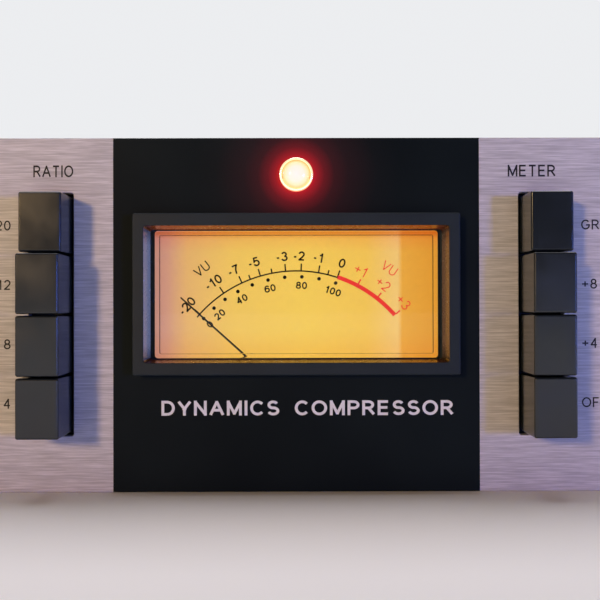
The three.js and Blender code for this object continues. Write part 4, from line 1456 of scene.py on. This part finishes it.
def studio():
    """A dim white room that the camera sees as a pale backdrop."""
    world = bpy.data.worlds.new("studio")
    world.use_nodes = True
    nodes, link = world.node_tree.nodes, world.node_tree.links.new
    room, backdrop = nodes["Background"], nodes.new("ShaderNodeBackground")
    room.inputs["Color"].default_value, room.inputs["Strength"].default_value = ROOM
    backdrop.inputs["Color"].default_value = BACKDROP
    seen = nodes.new("ShaderNodeMixShader")
    link(nodes.new("ShaderNodeLightPath").outputs["Is Camera Ray"], seen.inputs["Fac"])
    link(room.outputs["Background"], seen.inputs[1])
    link(backdrop.outputs["Background"], seen.inputs[2])
    link(seen.outputs["Shader"], nodes["World Output"].inputs["Surface"])
    bpy.context.scene.world = world


def area_light(name, place, target, size, power, colour):
    """A square lamp of that size and power in watts, that faces a target."""
    data = bpy.data.lights.new(name, "AREA")
    data.size = size * MM
    data.energy = power
    data.color = colour
    light = bpy.data.objects.new(name, data)
    light.location = Vector(place) * MM
    light.rotation_euler = (Vector(target) - Vector(place)).to_track_quat("-Z", "Y").to_euler()
    bpy.context.scene.collection.objects.link(light)


def beside(bank, direction, distance):
    """A point out along a direction from the panel at a bank of buttons."""
    x, z = bank_middle(bank).xz
    return Vector((x, FACE, z)) + Vector(direction) * distance


def lights():
    """An amber key from the left, a blue one from the right, and soft white from above and behind."""
    meter = (METER_X, FACE, METER_Z)
    warm_place = beside("ratio", (-0.54, -1, 0.24), 2200)
    cool_place = beside("meter", (0.745, -1, 0.0), 1250)
    area_light("warm_key", warm_place, meter, 300, 29, (1.0, 0.65, 0.29))
    area_light("cool_key", cool_place, meter, 200, 12, (0.07, 0.18, 1.0))
    area_light("soft_top", (METER_X, 500, 1900), (METER_X, 0, 0), 1500, 32, (0.97, 0.94, 1.0))
    area_light("rear_fill", (-500, 1500, 800), (0, 100, 44), 800, 16, (1, 1, 1))


def camera():
    """A hand-held close view: a little to the left of the meter's middle, turned and tilted slightly."""
    data = bpy.data.cameras.new("camera")
    data.sensor_width = 36
    data.lens = LENS
    data.clip_start = 0.01
    data.clip_end = 50
    piece = bpy.data.objects.new("camera", data)
    bpy.context.scene.collection.objects.link(piece)
    place = Matrix.Translation(Vector((METER_X - 0.2, FACE - CAMERA_AWAY, CAMERA_HEIGHT)) * MM)
    yaw = Matrix.Rotation(math.radians(CAMERA_YAW), 4, "Z")
    pitch = Matrix.Rotation(math.radians(90 + CAMERA_PITCH), 4, "X")
    roll = Matrix.Rotation(math.radians(CAMERA_ROLL), 4, "Z")
    piece.matrix_world = place @ yaw @ pitch @ roll
    bpy.context.scene.camera = piece
    bpy.context.scene.view_settings.view_transform = "Standard"


camera()
floor()
studio()
lights()
front_panel()
meter_bezel()
meter_cover()
meter_dial()
meter_pointer()
pilot_lamp()
push_buttons()
knobs()
front_screws()
covers()
side_plates()
rear_panel()
xlr_input()
xlr_output()
power_inlet()
pad_switch()
title()
control_legends()
button_legends()
rear_legends()
finish_frame_nodes()
